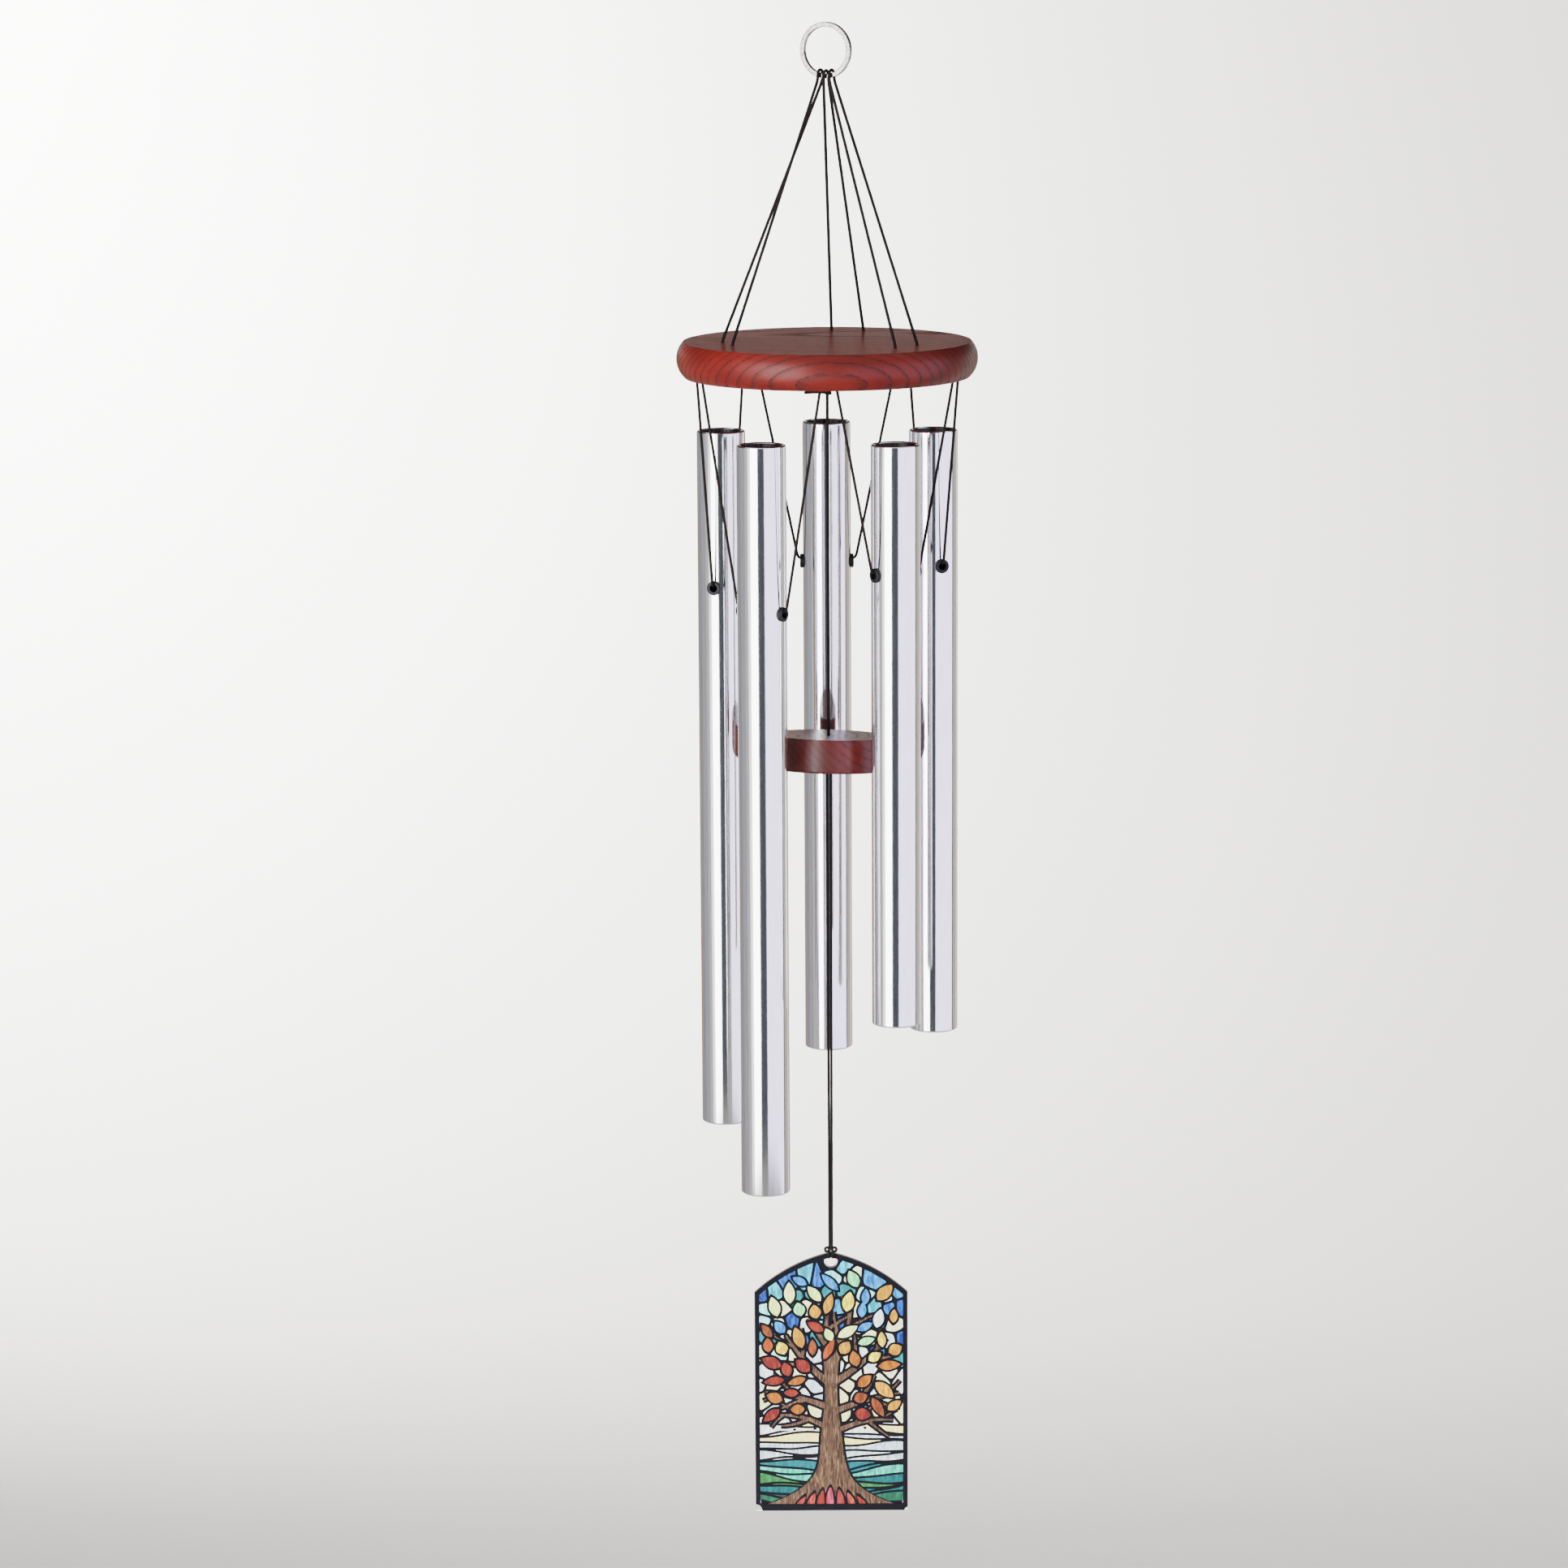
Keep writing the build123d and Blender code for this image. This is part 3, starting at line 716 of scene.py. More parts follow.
def hill_strip(art, us, upper, lower, kind, *tints):
    """One pane of hill between two lines of heights, in strips, where it is wide enough."""
    for i in range(len(us) - 1):
        wide = all(upper[k] - lower[k] > 0.1 for k in (i, i + 1))
        if wide and lower[i] > art.floor:
            art.pane([(us[i], lower[i]), (us[i + 1], lower[i + 1]), (us[i + 1], upper[i + 1]),
                      (us[i], upper[i])], HILL_LEVEL, kind, *tints)


def paint_hills(art):
    """Rolling bands on both sides of the trunk, some cut by a long slant, green near."""
    rng, half_lead = art.rng, art.lead * 0.85 / 2
    steps = 22
    for side in (-1, 1):
        us = [side * (art.half_width - PICTURE_INSET) * i / steps for i in range(steps + 1)]
        crest = [hill_height(0, u) for u in us]
        hill_strip(art, us, [v + half_lead for v in crest], [v - half_lead for v in crest], BLACK)
        for index in range(HILL_BANDS):
            tops = [hill_height(index, u) - half_lead for u in us]
            lows = [hill_height(index + 1, u) + half_lead for u in us]
            panes = [(tops, lows)]
            if (index + side) % 3 != 0:
                falls = rng.random() < 0.5
                shares = [i / steps if falls else 1 - i / steps for i in range(steps + 1)]
                cut = [low + (top - low) * share for low, top, share in zip(lows, tops, shares)]
                panes = [(tops, [v + half_lead for v in cut]), ([v - half_lead for v in cut], lows)]
            for upper, lower in panes:
                tone = min(len(HILLS) - 1, max(0, index + rng.choice((0, 0, 1))))
                hill_strip(art, us, upper, lower, TINTED, *HILLS[tone])


def trunk_half(v):
    """Half the trunk's width at a height: slim at the fork, flared to the roots."""
    down = max(0.0, -52.0 - v)
    return 2.9 + 0.04 * down + 27.5 * (down / 67.0) ** 7.5


# the limbs of the tree: start, angle, length, bend over the length, and width at the start
LIMBS = (
    ((0.0, -50.0), 106, 30, -34, 3.8), ((0.5, -50.0), 62, 32, 26, 3.6),
    ((-2.0, -58.0), 140, 30, -22, 3.2), ((2.0, -58.0), 32, 32, 20, 3.2),
    ((-3.0, -70.0), 158, 29, 18, 2.8), ((3.0, -72.0), 22, 30, -14, 2.8),
    ((-3.0, -80.0), 150, 26, 40, 2.4), ((3.0, -82.0), 26, 27, -34, 2.4),
)
# each limb's twigs: the point they leave from, their turn and their share of its length
TWIGS = ((3, 38, 0.52), (5, -42, 0.48), (7, 30, 0.34))


def paint_tree(art):
    """The trunk, its limbs and twigs, each over a black lead."""
    layers = ((art.lead * 0.9, LIMB_LEAD_LEVEL, BLACK), (0.0, LIMB_LEVEL, BARK))
    heights = [FORK + (art.floor - FORK) * i / 30 for i in range(31)]
    half = 33.7
    for grow, level, kind in layers:
        left = [(-trunk_half(v) - grow + 0.5 * math.sin(v / 6.0), v) for v in heights]
        right = [(trunk_half(v) + grow + 0.6 * math.sin(v / 7.5 + 1), v) for v in heights]
        outline = [(max(-half, u), v) for u, v in left]
        outline += [(min(half, u), v) for u, v in reversed(right)]
        art.pane(outline, level, kind)
    limbs = []
    for start, angle, length, bend, width in LIMBS:
        main = sweep_limb(start, angle, length, bend)
        limbs.append((main, width, 0.7))
        for place, turn, share in TWIGS:
            heading = angle + bend * place / 9 + turn + art.rng.uniform(-8, 8)
            curl = art.rng.uniform(-30, 30)
            twig = sweep_limb(main[place], heading, length * share, curl, 6)
            limbs.append((twig, width * (1 - place / 11), 0.5))
    for grow, level, kind in layers:
        for points, start_width, end_width in limbs:
            inside = [(u, v) for u, v in points if abs(u) < 32.8 and v < arch(u, 3.2)]
            if len(inside) < 3:
                continue
            left, right = limb(inside, start_width, end_width, grow)
            for i in range(len(left) - 1):
                art.pane([left[i], left[i + 1], right[i + 1], right[i]], level, kind)


def paint_leaves(art):
    """Leaves over the crown: pale, green and blue high up, then orange and red below."""
    rng = art.rng
    placed = []
    for _ in range(2600):
        u, v = rng.uniform(-31.5, 31.5), rng.uniform(-76.0, -7.0)
        length, width = rng.uniform(6.4, 11.0), rng.uniform(3.6, 5.8)
        if v > arch(u, 6.4) or math.hypot(u, v) < 9.5 or abs(u) + length / 2 > 34.0:
            continue
        if v < -44 and abs(u) < 8.5 + 0.2 * (-44 - v):
            continue
        reach = (length + width) / 4
        if any(math.hypot(u - pu, v - pv) < (reach + other) * 1.1 for pu, pv, other in placed):
            continue
        if v > -34 and rng.random() < 0.6:
            continue
        placed.append((u, v, reach))
        away = math.atan2(v + 66, u) + rng.uniform(-0.9, 0.9)
        warm = rng.random() < (-v - 26) / 34 + abs(u) / 160
        tint, deep = rng.choice(WARM_LEAVES if warm else HIGH_LEAVES)
        art.pane(leaf(u, v, length, width, away, art.lead * 0.8), LEAF_LEAD_LEVEL, BLACK)
        art.pane(leaf(u, v, length, width, away), LEAF_LEVEL, TINTED, tint, deep)


def paint_roots(art):
    """Red panes that stand between the roots."""
    floor = art.floor
    for i, u in enumerate((-15.5, -10.0, -5.2, -0.6, 4.2, 9.6, 15.2)):
        lean = -u * 0.16
        height = 10.8 - abs(u) * 0.34
        half = (3.5 - abs(u) * 0.03) / 2
        shift = lean * 0.6 + 0.8 * math.copysign(1, u) * 0.5
        layers = ((art.lead * 0.8, LEAF_LEAD_LEVEL, BLACK), (0.0, LEAF_LEVEL, TINTED))
        for grow, level, kind in layers:
            outline = [(u - half - grow, floor - 0.4), (u + half + grow, floor - 0.4),
                       (u + half + shift + grow, floor + height * 0.45),
                       (u + lean * 1.6, floor + height + grow * 2),
                       (u - half + shift - grow, floor + height * 0.45)]
            art.pane(soften(outline, 2, 0.24), level, kind, *RED_PANES[i % len(RED_PANES)])


def circle_points(radius, steps):
    """Points evenly round the sail's hole, the first one again at the end."""
    turns = [2 * math.pi * i / steps for i in range(steps + 1)]
    return [(radius * math.cos(t), radius * math.sin(t)) for t in turns]


def paint_border(art, width):
    """The black border with its ring round the hole, in strips that meet edge to edge."""
    outer = sail_outline(art.half_width - 0.15, art.bottom + 0.15, 0.0, CLEAR_CORNERS)
    inner = [(u, max(v, art.bottom + width + 1.1))
             for u, v in sail_outline(art.half_width, art.bottom, width)]
    for i in range(len(outer)):
        j = (i + 1) % len(outer)
        art.pane([outer[i], outer[j], inner[j], inner[i]], BORDER_LEVEL, BLACK)
    near, far = circle_points(RING_INSIDE, 40), circle_points(RING_OUTSIDE, 40)
    for i in range(40):
        art.pane([near[i], far[i], far[i + 1], near[i + 1]], BORDER_LEVEL, BLACK)


def paint_backing(art):
    """The black under the panes, left clear round the hole and at the two lower corners."""
    region = sail_outline(art.half_width - 0.2, art.bottom + 0.2, 0.0, CLEAR_CORNERS)
    steps = 96
    for i in range(steps):
        a, b = 2 * math.pi * i / steps, 2 * math.pi * (i + 1) / steps
        piece = []
        for t in (a, b):
            direction = (math.cos(t), math.sin(t))
            reach = 400.0
            for (px, py), (qx, qy) in zip(region, region[1:] + region[:1]):
                ex, ey = qx - px, qy - py
                det = direction[0] * ey - direction[1] * ex
                if abs(det) < 1e-9:
                    continue
                along = (px * ey - py * ex) / det
                share = (px * direction[1] - py * direction[0]) / det
                if along > 0 and -1e-6 <= share <= 1 + 1e-6:
                    reach = min(reach, along)
            piece.append((direction, reach))
        (d1, r1), (d2, r2) = piece
        art.pane([(3.2 * d1[0], 3.2 * d1[1]), (r1 * d1[0], r1 * d1[1]), (r2 * d2[0], r2 * d2[1]),
                  (3.2 * d2[0], 3.2 * d2[1])], BACKING_LEVEL, BLACK)


# ---------------------------------------------------------------- settings
class ChimeSettings(bpy.types.PropertyGroup):
    """Sizes and colours of the chime's looks."""

    tube_sides: IntProperty(name="Tube sides", description="Faces round a tube", default=96,
                            min=32)
    tube_wall: FloatProperty(name="Tube wall", description="Wall thickness of the tubes",
                             default=0.00165, subtype="DISTANCE", unit="LENGTH")
    rim_round: FloatProperty(name="Rim round", description="Rounding of the tubes' outer rims",
                             default=0.0011, subtype="DISTANCE", unit="LENGTH")
    cord_pitch: FloatProperty(name="Cord lay", description="Length of one turn of the strands",
                              default=0.0034, subtype="DISTANCE", unit="LENGTH")
    lead_width: FloatProperty(name="Lead width", description="Width of the print's leads, in mm",
                              default=1.3)
    border_width: FloatProperty(name="Border width",
                                description="Width of the print's border, in mm", default=2.3)
    seed: IntProperty(name="Print seed", description="Seed of the sail's picture", default=7)
    wood_dark: StringProperty(name="Wood dark", description="Stain in the dark clouds",
                              default="#511410")
    wood_mid: StringProperty(name="Wood middle", description="Stain of the ground",
                             default="#5D1713")
    wood_light: StringProperty(name="Wood light", description="Stain in the bright figure",
                               default="#6A1B15")
    wood_pore: StringProperty(name="Wood pores", description="Stain gathered in the pores",
                              default="#1E0808")
    cord_dark: StringProperty(name="Cord dark", description="Cord colour in the folds",
                              default="#0D0A09")
    cord_light: StringProperty(name="Cord light", description="Cord colour on the turns",
                               default="#1E1816")


def settings():
    """The sizes and colours set in the panel."""
    return bpy.context.scene.wind_chime


# ---------------------------------------------------------------- operators
class CHIME_OT_ring(bpy.types.Operator):
    """Finish the hanging ring"""

    bl_idname = "wind_chime.ring"
    bl_label = "Hanging ring"

    def execute(self, context):
        ring = frame["nodes"]["hanging_ring"]
        dress(ring, nickel_ring())
        smooth(ring, 30)
        return {"FINISHED"}


class CHIME_OT_woods(bpy.types.Operator):
    """Stain and lacquer the platform and the clapper"""

    bl_idname = "wind_chime.woods"
    bl_label = "Platform and clapper"

    def execute(self, context):
        # each piece is sawn from its own log: where the pith lies from its middle, how the
        # fibres lean, the rings' width, how far its colour is darkened and the lacquer's weight
        for name, pith, lean, ring_width, strength, coat in (
            ("platform", (0.0, 0.03, 0.055), (0.0, 0.05, 0.05), 0.0034, 0.0, 0.06),
            ("clapper", (-0.01, 0.0, -0.05), (0.0, 0.6, 0.35), 0.0030, 0.45, 0.3),
        ):
            piece = frame["nodes"][name]
            dress(piece, stained_ash(f"cherry_stained_ash_{name}", middle(name) + Vector(pith),
                                     lean, ring_width, strength, coat))
            smooth(piece, 30)
        return {"FINISHED"}


class CHIME_OT_tubes(bpy.types.Operator):
    """Turn the five tubes with their rounded rims and cross holes"""

    bl_idname = "wind_chime.tubes"
    bl_label = "Tubes"
    EDGE_GAP = 4.5 * MM         # from the cross holes' axis to the rings of edges
    HOLE_RADIUS = 2.4 * MM

    def execute(self, context):
        metals = polished_tube_aluminium(), bore_in_painted_shade()
        for name in TUBE_NAMES:
            self.tube(name, metals)
        return {"FINISHED"}

    def tube(self, name, metals):
        low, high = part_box(f"tube_{name}")
        centre = (low + high) / 2
        radius = (high.x - low.x) / 2
        bpy.ops.object.select_all(action="DESELECT")
        bpy.ops.mesh.primitive_cylinder_add(vertices=settings().tube_sides, radius=radius,
                                            depth=high.z - low.z, end_fill_type="NOTHING",
                                            location=centre)
        obj = bpy.context.object
        obj.name = f"chime_tube_{name}"
        settle(obj)
        hole = (middle(f"grommet_{name}_a") + middle(f"grommet_{name}_b")) / 2
        # two rings of edges keep the cuts for the holes short
        bpy.ops.object.mode_set(mode="EDIT")
        for height in (hole.z - self.EDGE_GAP, hole.z + self.EDGE_GAP):
            bpy.ops.mesh.select_all(action="SELECT")
            bpy.ops.mesh.bisect(plane_co=(centre.x, centre.y, height), plane_no=(0, 0, 1))
        bpy.ops.object.mode_set(mode="OBJECT")
        wall = obj.modifiers.new("wall", "SOLIDIFY")
        wall.thickness = settings().tube_wall
        wall.offset = -1.0
        rim = obj.modifiers.new("rim", "BEVEL")
        rim.width = settings().rim_round
        rim.segments = 5
        rim.limit_method = "ANGLE"
        rim.angle_limit = math.radians(50)
        rim.use_clamp_overlap = True
        apply_all(obj)
        drill = self.drill(name, hole)
        cut = obj.modifiers.new("cross holes", "BOOLEAN")
        cut.operation = "DIFFERENCE"
        cut.object = drill
        cut.solver = "EXACT"
        apply_all(obj)
        bpy.data.objects.remove(drill)
        dress(obj, *metals)
        bore = radius - settings().tube_wall
        # faces inside the bore take the near-black metal, which is painted shade
        for polygon in obj.data.polygons:
            arm = math.hypot(polygon.center.x - centre.x, polygon.center.y - centre.y)
            if arm < bore * 1.004:
                polygon.material_index = 1
        smooth(obj, 40)
        finish_piece(obj, f"tube_{name}", "tube_metal", f"tube_{name}")

    def drill(self, name, hole):
        """A rod through both cross holes of a tube."""
        across = middle(f"grommet_{name}_b") - middle(f"grommet_{name}_a")
        bpy.ops.object.select_all(action="DESELECT")
        bpy.ops.mesh.primitive_cylinder_add(vertices=32, radius=self.HOLE_RADIUS,
                                            depth=across.length * 2)
        drill = bpy.context.object
        turn = across.to_track_quat("Z", "Y").to_matrix().to_4x4()
        drill.matrix_world = Matrix.Translation(hole) @ turn
        return drill


class CHIME_OT_grommets(bpy.types.Operator):
    """Finish the rubber grommets"""

    bl_idname = "wind_chime.grommets"
    bl_label = "Grommets"

    def execute(self, context):
        material = moulded_rubber()
        for name in TUBE_NAMES:
            for hand in ("a", "b"):
                grommet = frame["nodes"][f"grommet_{name}_{hand}"]
                dress(grommet, material)
                smooth(grommet, 40)
        return {"FINISHED"}


class CHIME_OT_cords(bpy.types.Operator):
    """Lay up every cord with its twist and tie every knot"""

    bl_idname = "wind_chime.cords"
    bl_label = "Cords and knots"
    THICK = 1.12                # how much fuller the long cords look than their core

    def execute(self, context):
        self.material = twisted_cord()
        self.pitch = settings().cord_pitch
        low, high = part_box("clapper_cord")
        self.radius = (high.x - low.x) / 2
        self.suspension()
        self.tube_cords()
        self.links()
        self.clapper_cord()
        self.knots()
        self.sail_cord()
        return {"FINISHED"}

    def lay(self, name, lines, body, *nodes, radius=None):
        obj = cord_piece(name, lines, radius or self.radius, self.pitch, self.material)
        finish_piece(obj, body, "cord_black", *nodes)
        return obj

    def suspension(self):
        """Each cord goes up through one hole, over the ring's bar and down through its second."""
        swing = joint("chime_swing")
        turn = math.atan2(swing["axis"][1], swing["axis"][0])
        along = Vector((math.cos(turn), math.sin(turn), 0))
        axis = Vector((-math.sin(turn), math.cos(turn), 0))
        # round the bar: its half diagonal, the cord and a little slack
        wrap = 1.65 * MM + self.radius * 1.25 + 0.06 * MM
        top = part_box("platform")[1].z
        for place, (name, angle) in zip((-1, 0, 1), SUSPENSION.items()):
            offset = place * RING_SPACING
            bar = along * offset
            bar.z = -math.sqrt(swing["pos_m"][2] ** 2 - offset ** 2)
            holes = [on_circle(angle, side) for side in (-1, 1)]
            front, back = sorted(holes, key=lambda hole: hole.dot(axis))
            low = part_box(f"suspension_cord_{name}")[0].z
            half = []
            for hole, side in ((front, -1), (back, 1)):
                foot = hole + Vector((0, 0, low))
                mouth = hole + Vector((0, 0, top + 1.0 * MM))
                reach = axis * side * wrap
                leave = bar + reach + Vector((0, 0, -1.9 * MM))
                away = (mouth - leave).normalized()
                half.append([foot, foot.lerp(mouth, 0.8), mouth, mouth - away * 4 * MM,
                             leave + away * 6 * MM, leave,
                             bar + reach + Vector((0, 0, wrap * 0.42)),
                             bar + reach * 0.42 + Vector((0, 0, wrap))])
            points = half[0] + list(reversed(half[1]))
            self.lay(f"suspension_cord_{name}_twisted", [route_points(points)], "canopy",
                     f"suspension_cord_{name}", radius=self.radius * self.THICK)

    def tube_cords(self):
        """Each tube's V cord, from exit to exit through both grommets."""
        for name in TUBE_NAMES:
            swing = Vector(joint(f"swing_{name}")["pos_m"])
            rock = Vector(joint(f"rock_{name}")["pos_m"])
            across = (middle(f"grommet_{name}_b") - middle(f"grommet_{name}_a")).normalized()
            low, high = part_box(f"tube_cord_{name}")
            flat = Vector((across.x, across.y, 0))
            half = math.hypot(high.x - low.x, high.y - low.y) / 2 - self.radius
            corner = 13.35 * MM         # from the tube's axis to the grommet's outer face
            side_points = []
            for side in (-1, 1):
                exit_point = swing + flat * side * half + Vector((0, 0, 1.4 * MM))
                turn = rock + flat * side * corner
                up = (exit_point - turn).normalized()
                side_points.append([exit_point, exit_point.lerp(turn, 0.25),
                                    turn + up * 5 * MM, turn + up * 0.6 * MM,
                                    turn - flat * side * 1.6 * MM,
                                    rock + flat * side * 7 * MM])
            points = side_points[0] + [rock] + list(reversed(side_points[1]))
            self.lay(f"tube_cord_{name}_twisted", [route_points(points)], f"cord_{name}",
                     f"tube_cord_{name}")

    def links(self):
        """The dips of the lacing cord into the platform between the tubes."""
        low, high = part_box("lacing_link_front")
        half = (high.x - low.x) / 2 - self.radius * 0.9
        rise = high.z - low.z - self.radius
        for name, angle in (("front", 0), ("left", -72), ("back_left", -144),
                            ("back_right", 144), ("right", 72)):
            centre = middle(f"lacing_link_{name}")
            flat = Vector((math.cos(math.radians(angle)), math.sin(math.radians(angle)), 0))
            base = Vector((centre.x, centre.y, low.z + 0.3 * MM))
            points = [base + flat * half * share + Vector((0, 0, rise * height))
                      for share, height in ((-1, 0), (-0.5, 0.55), (0, 1.15), (0.5, 0.55), (1, 0))]
            self.lay(f"lacing_link_{name}_twisted", [route_points(points)], "canopy",
                     f"lacing_link_{name}")

    def clapper_cord(self):
        """The clapper's cord below its knot, and its anchor in the platform."""
        centre = middle("clapper_cord")
        for name, low, high, body, radius in (
            ("clapper_cord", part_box("clapper_cord")[0].z,
             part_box("clapper_knot")[0].z + 1.2 * MM, "clapper", self.radius * self.THICK),
            ("clapper_cord_anchor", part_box("clapper_cord_anchor")[0].z - 1.0 * MM,
             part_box("clapper_cord_anchor")[1].z, "canopy", self.radius),
        ):
            line = [Vector((centre.x, centre.y, z)) for z in (low, high)]
            self.lay(f"{name}_twisted", [line], body, name, radius=radius)

    def knots(self):
        """Overhand knots: six under the platform, the clapper's two and the lacing cord's."""
        height = Vector((0, 0, middle("suspension_knots").z))
        lines = [knot_line(on_circle(angle, side) + height, 1.5 * MM,
                           math.radians(angle + side * HOLE_SPREAD))
                 for angle in SUSPENSION.values() for side in (-1, 1)]
        self.lay("suspension_knots_tied", lines, "canopy", "suspension_knots")
        for name, size, turn, body in (("clapper_knot", 1.25, 0.0, "clapper_knot"),
                                       ("clapper_stop_knot", 1.5, 0.6, "clapper"),
                                       ("lacing_knot", 1.2, 0.4, "canopy")):
            self.lay(f"{name}_tied", [knot_line(middle(name), size * MM, turn)], body, name)
        knot = middle("lacing_knot")
        low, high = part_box("lacing_tail")
        tail = [knot, knot.lerp(Vector((low.x, high.y, knot.z)), 0.4) + Vector((0, 0, 0.3 * MM)),
                Vector((low.x + 0.8 * MM, high.y - 0.8 * MM, knot.z))]
        self.lay("lacing_tail_twisted", [route_points(tail)], "canopy", "lacing_tail")

    def sail_cord(self):
        """The two strands to the sail, and the cow hitch that holds it."""
        low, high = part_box("sail_cord")
        thin = (high.y - low.y) / 2
        spread = (high.x - low.x) / 2 - thin
        lines = []
        for side in (-1, 1):
            top = Vector((side * spread, 0, high.z + 0.8 * MM))
            bottom = Vector((side * thin, 0, low.z - 0.6 * MM))
            lines.append([top, bottom])
        self.lay("sail_cord_twisted", lines, "sail_cord", "sail_cord", radius=thin * 1.15)
        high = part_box("sail_hitch")[1]
        web = joint("sail_flutter")["pos_m"][2]
        # half of the hitch's line from the panel's web, in mm: down behind, round and up in front
        half = [(thin / MM, 0.1, (high.z - web) / MM - 0.1), (0.55, 0.9, 2.9), (0.85, 1.85, 1.2),
                (0.85, 1.85, -0.65), (0.85, 0.95, -2.05), (0.85, -0.95, -2.05),
                (0.85, -1.85, -0.65), (0.85, -1.9, 0.6), (1.15, -1.8, 1.3), (2.05, -1.4, 1.1),
                (2.85, -1.1, 1.95), (2.2, -1.0, 3.05), (1.2, -1.2, 2.9)]
        points = half + [(0, -1.85, 2.4)] + [(-x, y, z) for x, y, z in reversed(half)]
        points = [Vector((0, 0, web)) + Vector(p) * MM for p in points]
        self.lay("sail_hitch_tied", [route_points(points)], "sail_hitch", "sail_hitch",
                 radius=thin * 1.2)


class CHIME_OT_sail(bpy.types.Operator):
    """Print the leaded picture on both faces of the clear sail"""

    bl_idname = "wind_chime.sail"
    bl_label = "Sail"

    def execute(self, context):
        panel = frame["nodes"]["sail"]
        dress(panel, clear_acrylic())
        low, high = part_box("sail")
        half_width = (high.x - low.x) / 2 / MM
        centre = Vector((0, 0, joint("sail_flutter")["pos_m"][2] - HITCH_DROP))
        bottom = (low.z - centre.z) / MM
        art = Artwork(half_width, bottom, settings().lead_width, random.Random(settings().seed))
        for paint in (paint_backing, paint_sky, paint_hills, paint_tree, paint_leaves,
                      paint_roots):
            paint(art)
        paint_border(art, settings().border_width)
        inks = (black_ink(), colour_ink(), bark_ink())
        for name, face_y, side in (("front", low.y, -1), ("back", high.y, 1)):
            obj = art.mesh(f"sail_print_{name}", centre, face_y, side, inks)
            finish_piece(obj, "sail", "sail_panel")
        return {"FINISHED"}


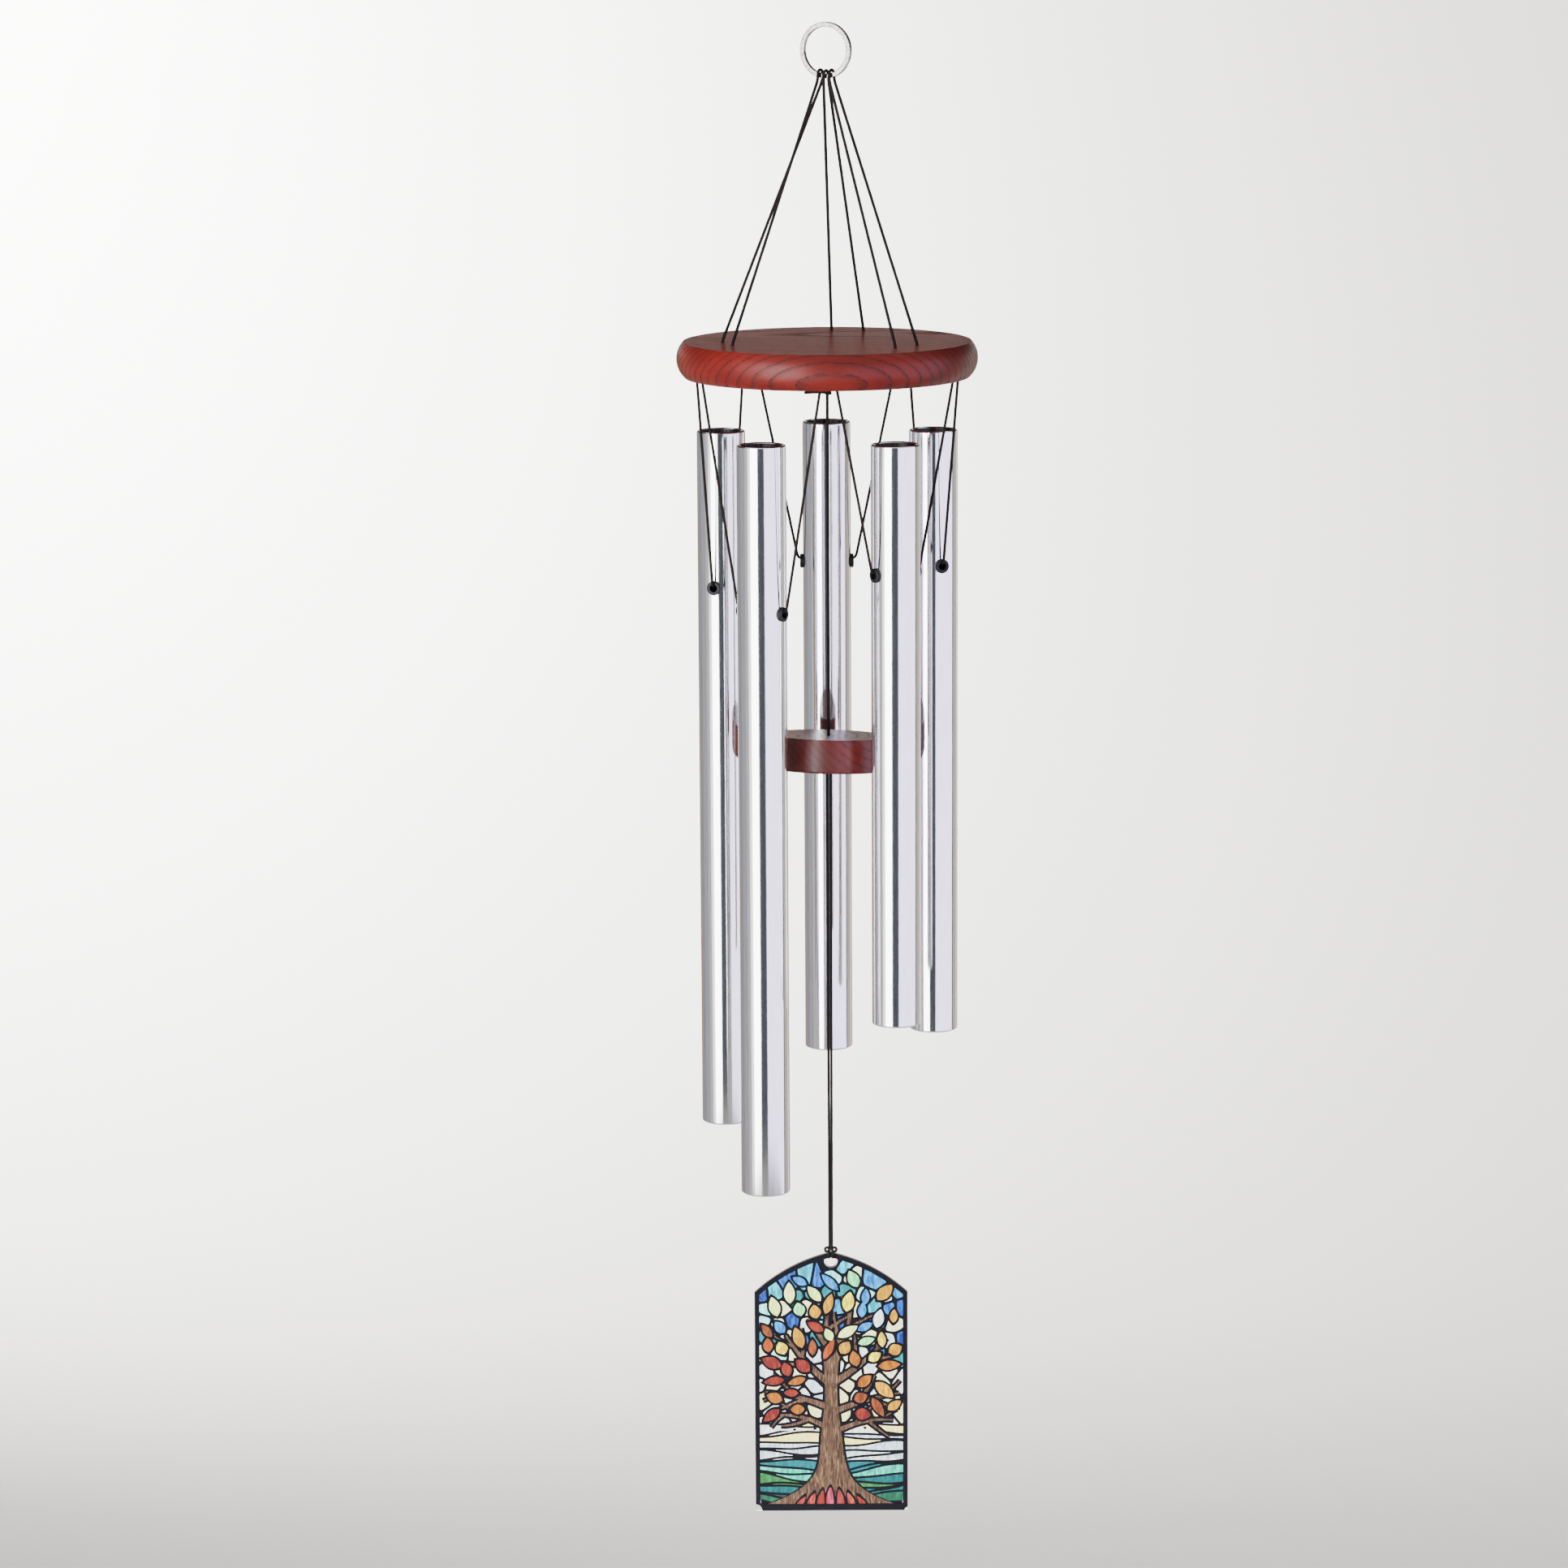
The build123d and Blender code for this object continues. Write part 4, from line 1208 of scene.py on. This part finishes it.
class CHIME_OT_stage(bpy.types.Operator):
    """Set the floor, the soft light and the camera"""

    bl_idname = "wind_chime.stage"
    bl_label = "Stage"
    RADIUS = 1.45               # of the ring of cards, in metres

    def execute(self, context):
        self.floor()
        self.light()
        self.camera()
        return {"FINISHED"}

    def floor(self):
        """A pale paper sweep: flat under the chime, then curving up into a wall behind it."""
        profile = [(-30.0, -1.25), (2.2, -1.25)]
        for turn in range(6, 91, 6):
            t = math.radians(turn)
            profile.append((2.2 + 1.2 * math.sin(t), -0.05 - 1.2 * math.cos(t)))
        profile += [(3.4, 8.0)]
        verts = [(x, y, z) for y, z in profile for x in (-30.0, 30.0)]
        faces = [(2 * i, 2 * i + 1, 2 * i + 3, 2 * i + 2) for i in range(len(profile) - 1)]
        sweep = mesh_piece("paper_sweep", verts, faces)
        material, tree = new_material("pale_backdrop_paper")
        dress(sweep, shaded(material, tree, {"Base Color": "#E4E2DF", "Roughness": 0.95}))
        smooth(sweep, 40)

    def card(self, name, start, end, low, high, colour, strength):
        """A curved, glowing card round the chime: angles in degrees to the right of the front."""
        steps = max(2, round((end - start) / 4))
        verts = []
        for i in range(steps + 1):
            turn = math.radians(start + (end - start) * i / steps)
            for z in (low, high):
                verts.append((self.RADIUS * math.sin(turn), -self.RADIUS * math.cos(turn), z))
        faces = [(2 * i, 2 * i + 1, 2 * i + 3, 2 * i + 2) for i in range(steps)]
        obj = mesh_piece(name, verts, faces)
        material, tree = new_material(name)
        dress(obj, shaded(material, tree, {"Color": colour, "Strength": strength},
                          "ShaderNodeEmission"))
        obj.visible_camera = False
        obj.visible_diffuse = False
        obj.visible_transmission = False
        obj.visible_shadow = False

    def light(self):
        """Cards round the chime give the tubes their bands; a dome and a lamp light the paper."""
        for name, start, end, low, high, colour, strength in (
            ("card_left_edge", -83.0, -66.0, -1.1, 0.5, "#FFFAF6", 0.8),
            ("card_left_fade", -66.0, -52.0, -1.1, 0.5, "#FFFFFF", 2.6),
            ("card_left", -52.0, -19.5, -1.1, 0.5, "#FFFFFF", 13.0),
            ("card_gap", -19.5, 11.5, -1.1, 0.5, "#DDE6F6", 0.13),
            ("card_right", 11.5, 99.0, -1.1, 0.4, "#E9E0FF", 4.1),
            ("card_line_dark", 99.0, 106.0, -1.1, 0.0, "#B8B0A8", 0.2),
            ("card_side_right", 106.0, 138.0, -1.1, 0.0, "#FFF2E2", 0.75),
            ("card_line_bright", 138.0, 143.0, -1.1, -0.06, "#FFFFFF", 3.0),
            ("card_back_right", 143.0, 180.0, -1.1, -0.06, "#FFF0E0", 0.6),
            ("card_side_left", -112.0, -83.0, -1.1, 0.0, "#F8F8FF", 0.55),
            ("card_far_left", -137.0, -112.0, -1.1, 0.0, "#F4F8FF", 0.42),
            ("card_back_left", -180.0, -137.0, -1.1, -0.06, "#FFE0C8", 0.55),
            ("card_strip_left", -180.0, -137.0, -0.06, 0.0, "#FFF8F0", 3.0),
            ("card_strip_right", 137.0, 180.0, -0.06, 0.0, "#FFF8F0", 3.0),
            ("card_flag_left", -180.0, -83.0, 0.0, 1.4, "#FFF8F0", 0.1),
            ("card_flag_right", 99.0, 180.0, 0.0, 1.4, "#FFF8F0", 0.1),
        ):
            self.card(name, start, end, low, high, colour, strength)
        world = bpy.data.worlds.new("soft_studio")
        bpy.context.scene.world = world
        world.use_nodes = True
        tree = world.node_tree
        tree.nodes.clear()
        facing = node(tree, "ShaderNodeTexCoord").outputs["Generated"]
        height = node(tree, "ShaderNodeSeparateXYZ", {0: facing}).outputs["Z"]
        path = node(tree, "ShaderNodeLightPath").outputs
        dome, mirrored, seen = (
            node(tree, "ShaderNodeBackground", inputs).outputs[0] for inputs in (
                {"Color": "#FFFDFA", "Strength": 0.62},
                {"Strength": remap(tree, height, 0.1, 1.4, 0.12, 0.22)},
                {"Color": "#FFFDFA", "Strength": 3.5},
            ))
        soft = node(tree, "ShaderNodeMixShader",
                    {0: path["Is Glossy Ray"], 1: dome, 2: mirrored}).outputs[0]
        both = node(tree, "ShaderNodeMixShader",
                    {0: path["Is Camera Ray"], 1: soft, 2: seen}).outputs[0]
        node(tree, "ShaderNodeOutputWorld", {0: both})
        self.lamp("backdrop_lamp", (-1.5, 2.1, 0.75), (-0.75, 3.4, -0.25), 0.8, 215.0, 115.0)
        self.lamp("key_lamp", (-1.6, -1.4, 0.35), (0.0, 0.0, -0.3), 1.2, 14.0, 60.0)
        self.lamp("low_lamp", (-0.5, -1.8, -0.9), (0.0, 0.0, -0.6), 0.8, 6.0, 50.0)

    def lamp(self, name, place, target, size, energy, spread):
        """A round lamp that the polished metal doesn't mirror; spread is in degrees."""
        data = bpy.data.lights.new(name, "AREA")
        data.spread = math.radians(spread)
        data.shape = "DISK"
        data.size = size
        data.energy = energy
        lamp = bpy.data.objects.new(name, data)
        bpy.context.scene.collection.objects.link(lamp)
        lamp.location = place
        lamp.rotation_euler = (Vector(target) - Vector(place)).to_track_quat("-Z", "Y").to_euler()
        lamp.visible_camera = False
        lamp.visible_glossy = False

    def camera(self):
        """A long lens a little above the chime, rolled by the lean of the whole view."""
        data = bpy.data.cameras.new("camera")
        data.sensor_width = 36.0
        data.lens = 116.9
        data.clip_end = 200.0
        camera = bpy.data.objects.new("camera", data)
        bpy.context.scene.collection.objects.link(camera)
        turn = (Matrix.Rotation(math.radians(90 - 10.606), 4, "X")
                @ Matrix.Rotation(math.radians(-0.33), 4, "Z"))
        camera.matrix_world = Matrix.Translation((-0.0205, -2.289, 0.0962)) @ turn
        bpy.context.scene.camera = camera


class CHIME_PT_panel(bpy.types.Panel):
    """The chime's pieces, in the sidebar of the 3D view"""

    bl_label = "Wind chime"
    bl_idname = "CHIME_PT_panel"
    bl_space_type = "VIEW_3D"
    bl_region_type = "UI"
    bl_category = "Wind chime"

    def draw(self, context):
        column = self.layout.column()
        for name in ChimeSettings.__annotations__:
            column.prop(context.scene.wind_chime, name)
        for operator in OPERATORS:
            column.operator(operator.bl_idname)


OPERATORS = [CHIME_OT_stage, CHIME_OT_ring, CHIME_OT_woods, CHIME_OT_tubes, CHIME_OT_grommets,
             CHIME_OT_cords, CHIME_OT_sail]
CLASSES = [ChimeSettings, *OPERATORS, CHIME_PT_panel]


def register():
    for cls in CLASSES:
        bpy.utils.register_class(cls)
    bpy.types.Scene.wind_chime = PointerProperty(type=ChimeSettings)


def unregister():
    del bpy.types.Scene.wind_chime
    for cls in reversed(CLASSES):
        bpy.utils.unregister_class(cls)


def main():
    """Builds the stage and every piece."""
    register()
    bpy.ops.wind_chime.stage()
    bpy.ops.wind_chime.ring()
    bpy.ops.wind_chime.woods()
    bpy.ops.wind_chime.tubes()
    bpy.ops.wind_chime.grommets()
    bpy.ops.wind_chime.cords()
    bpy.ops.wind_chime.sail()
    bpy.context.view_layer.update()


if __name__ == "__main__":
    main()
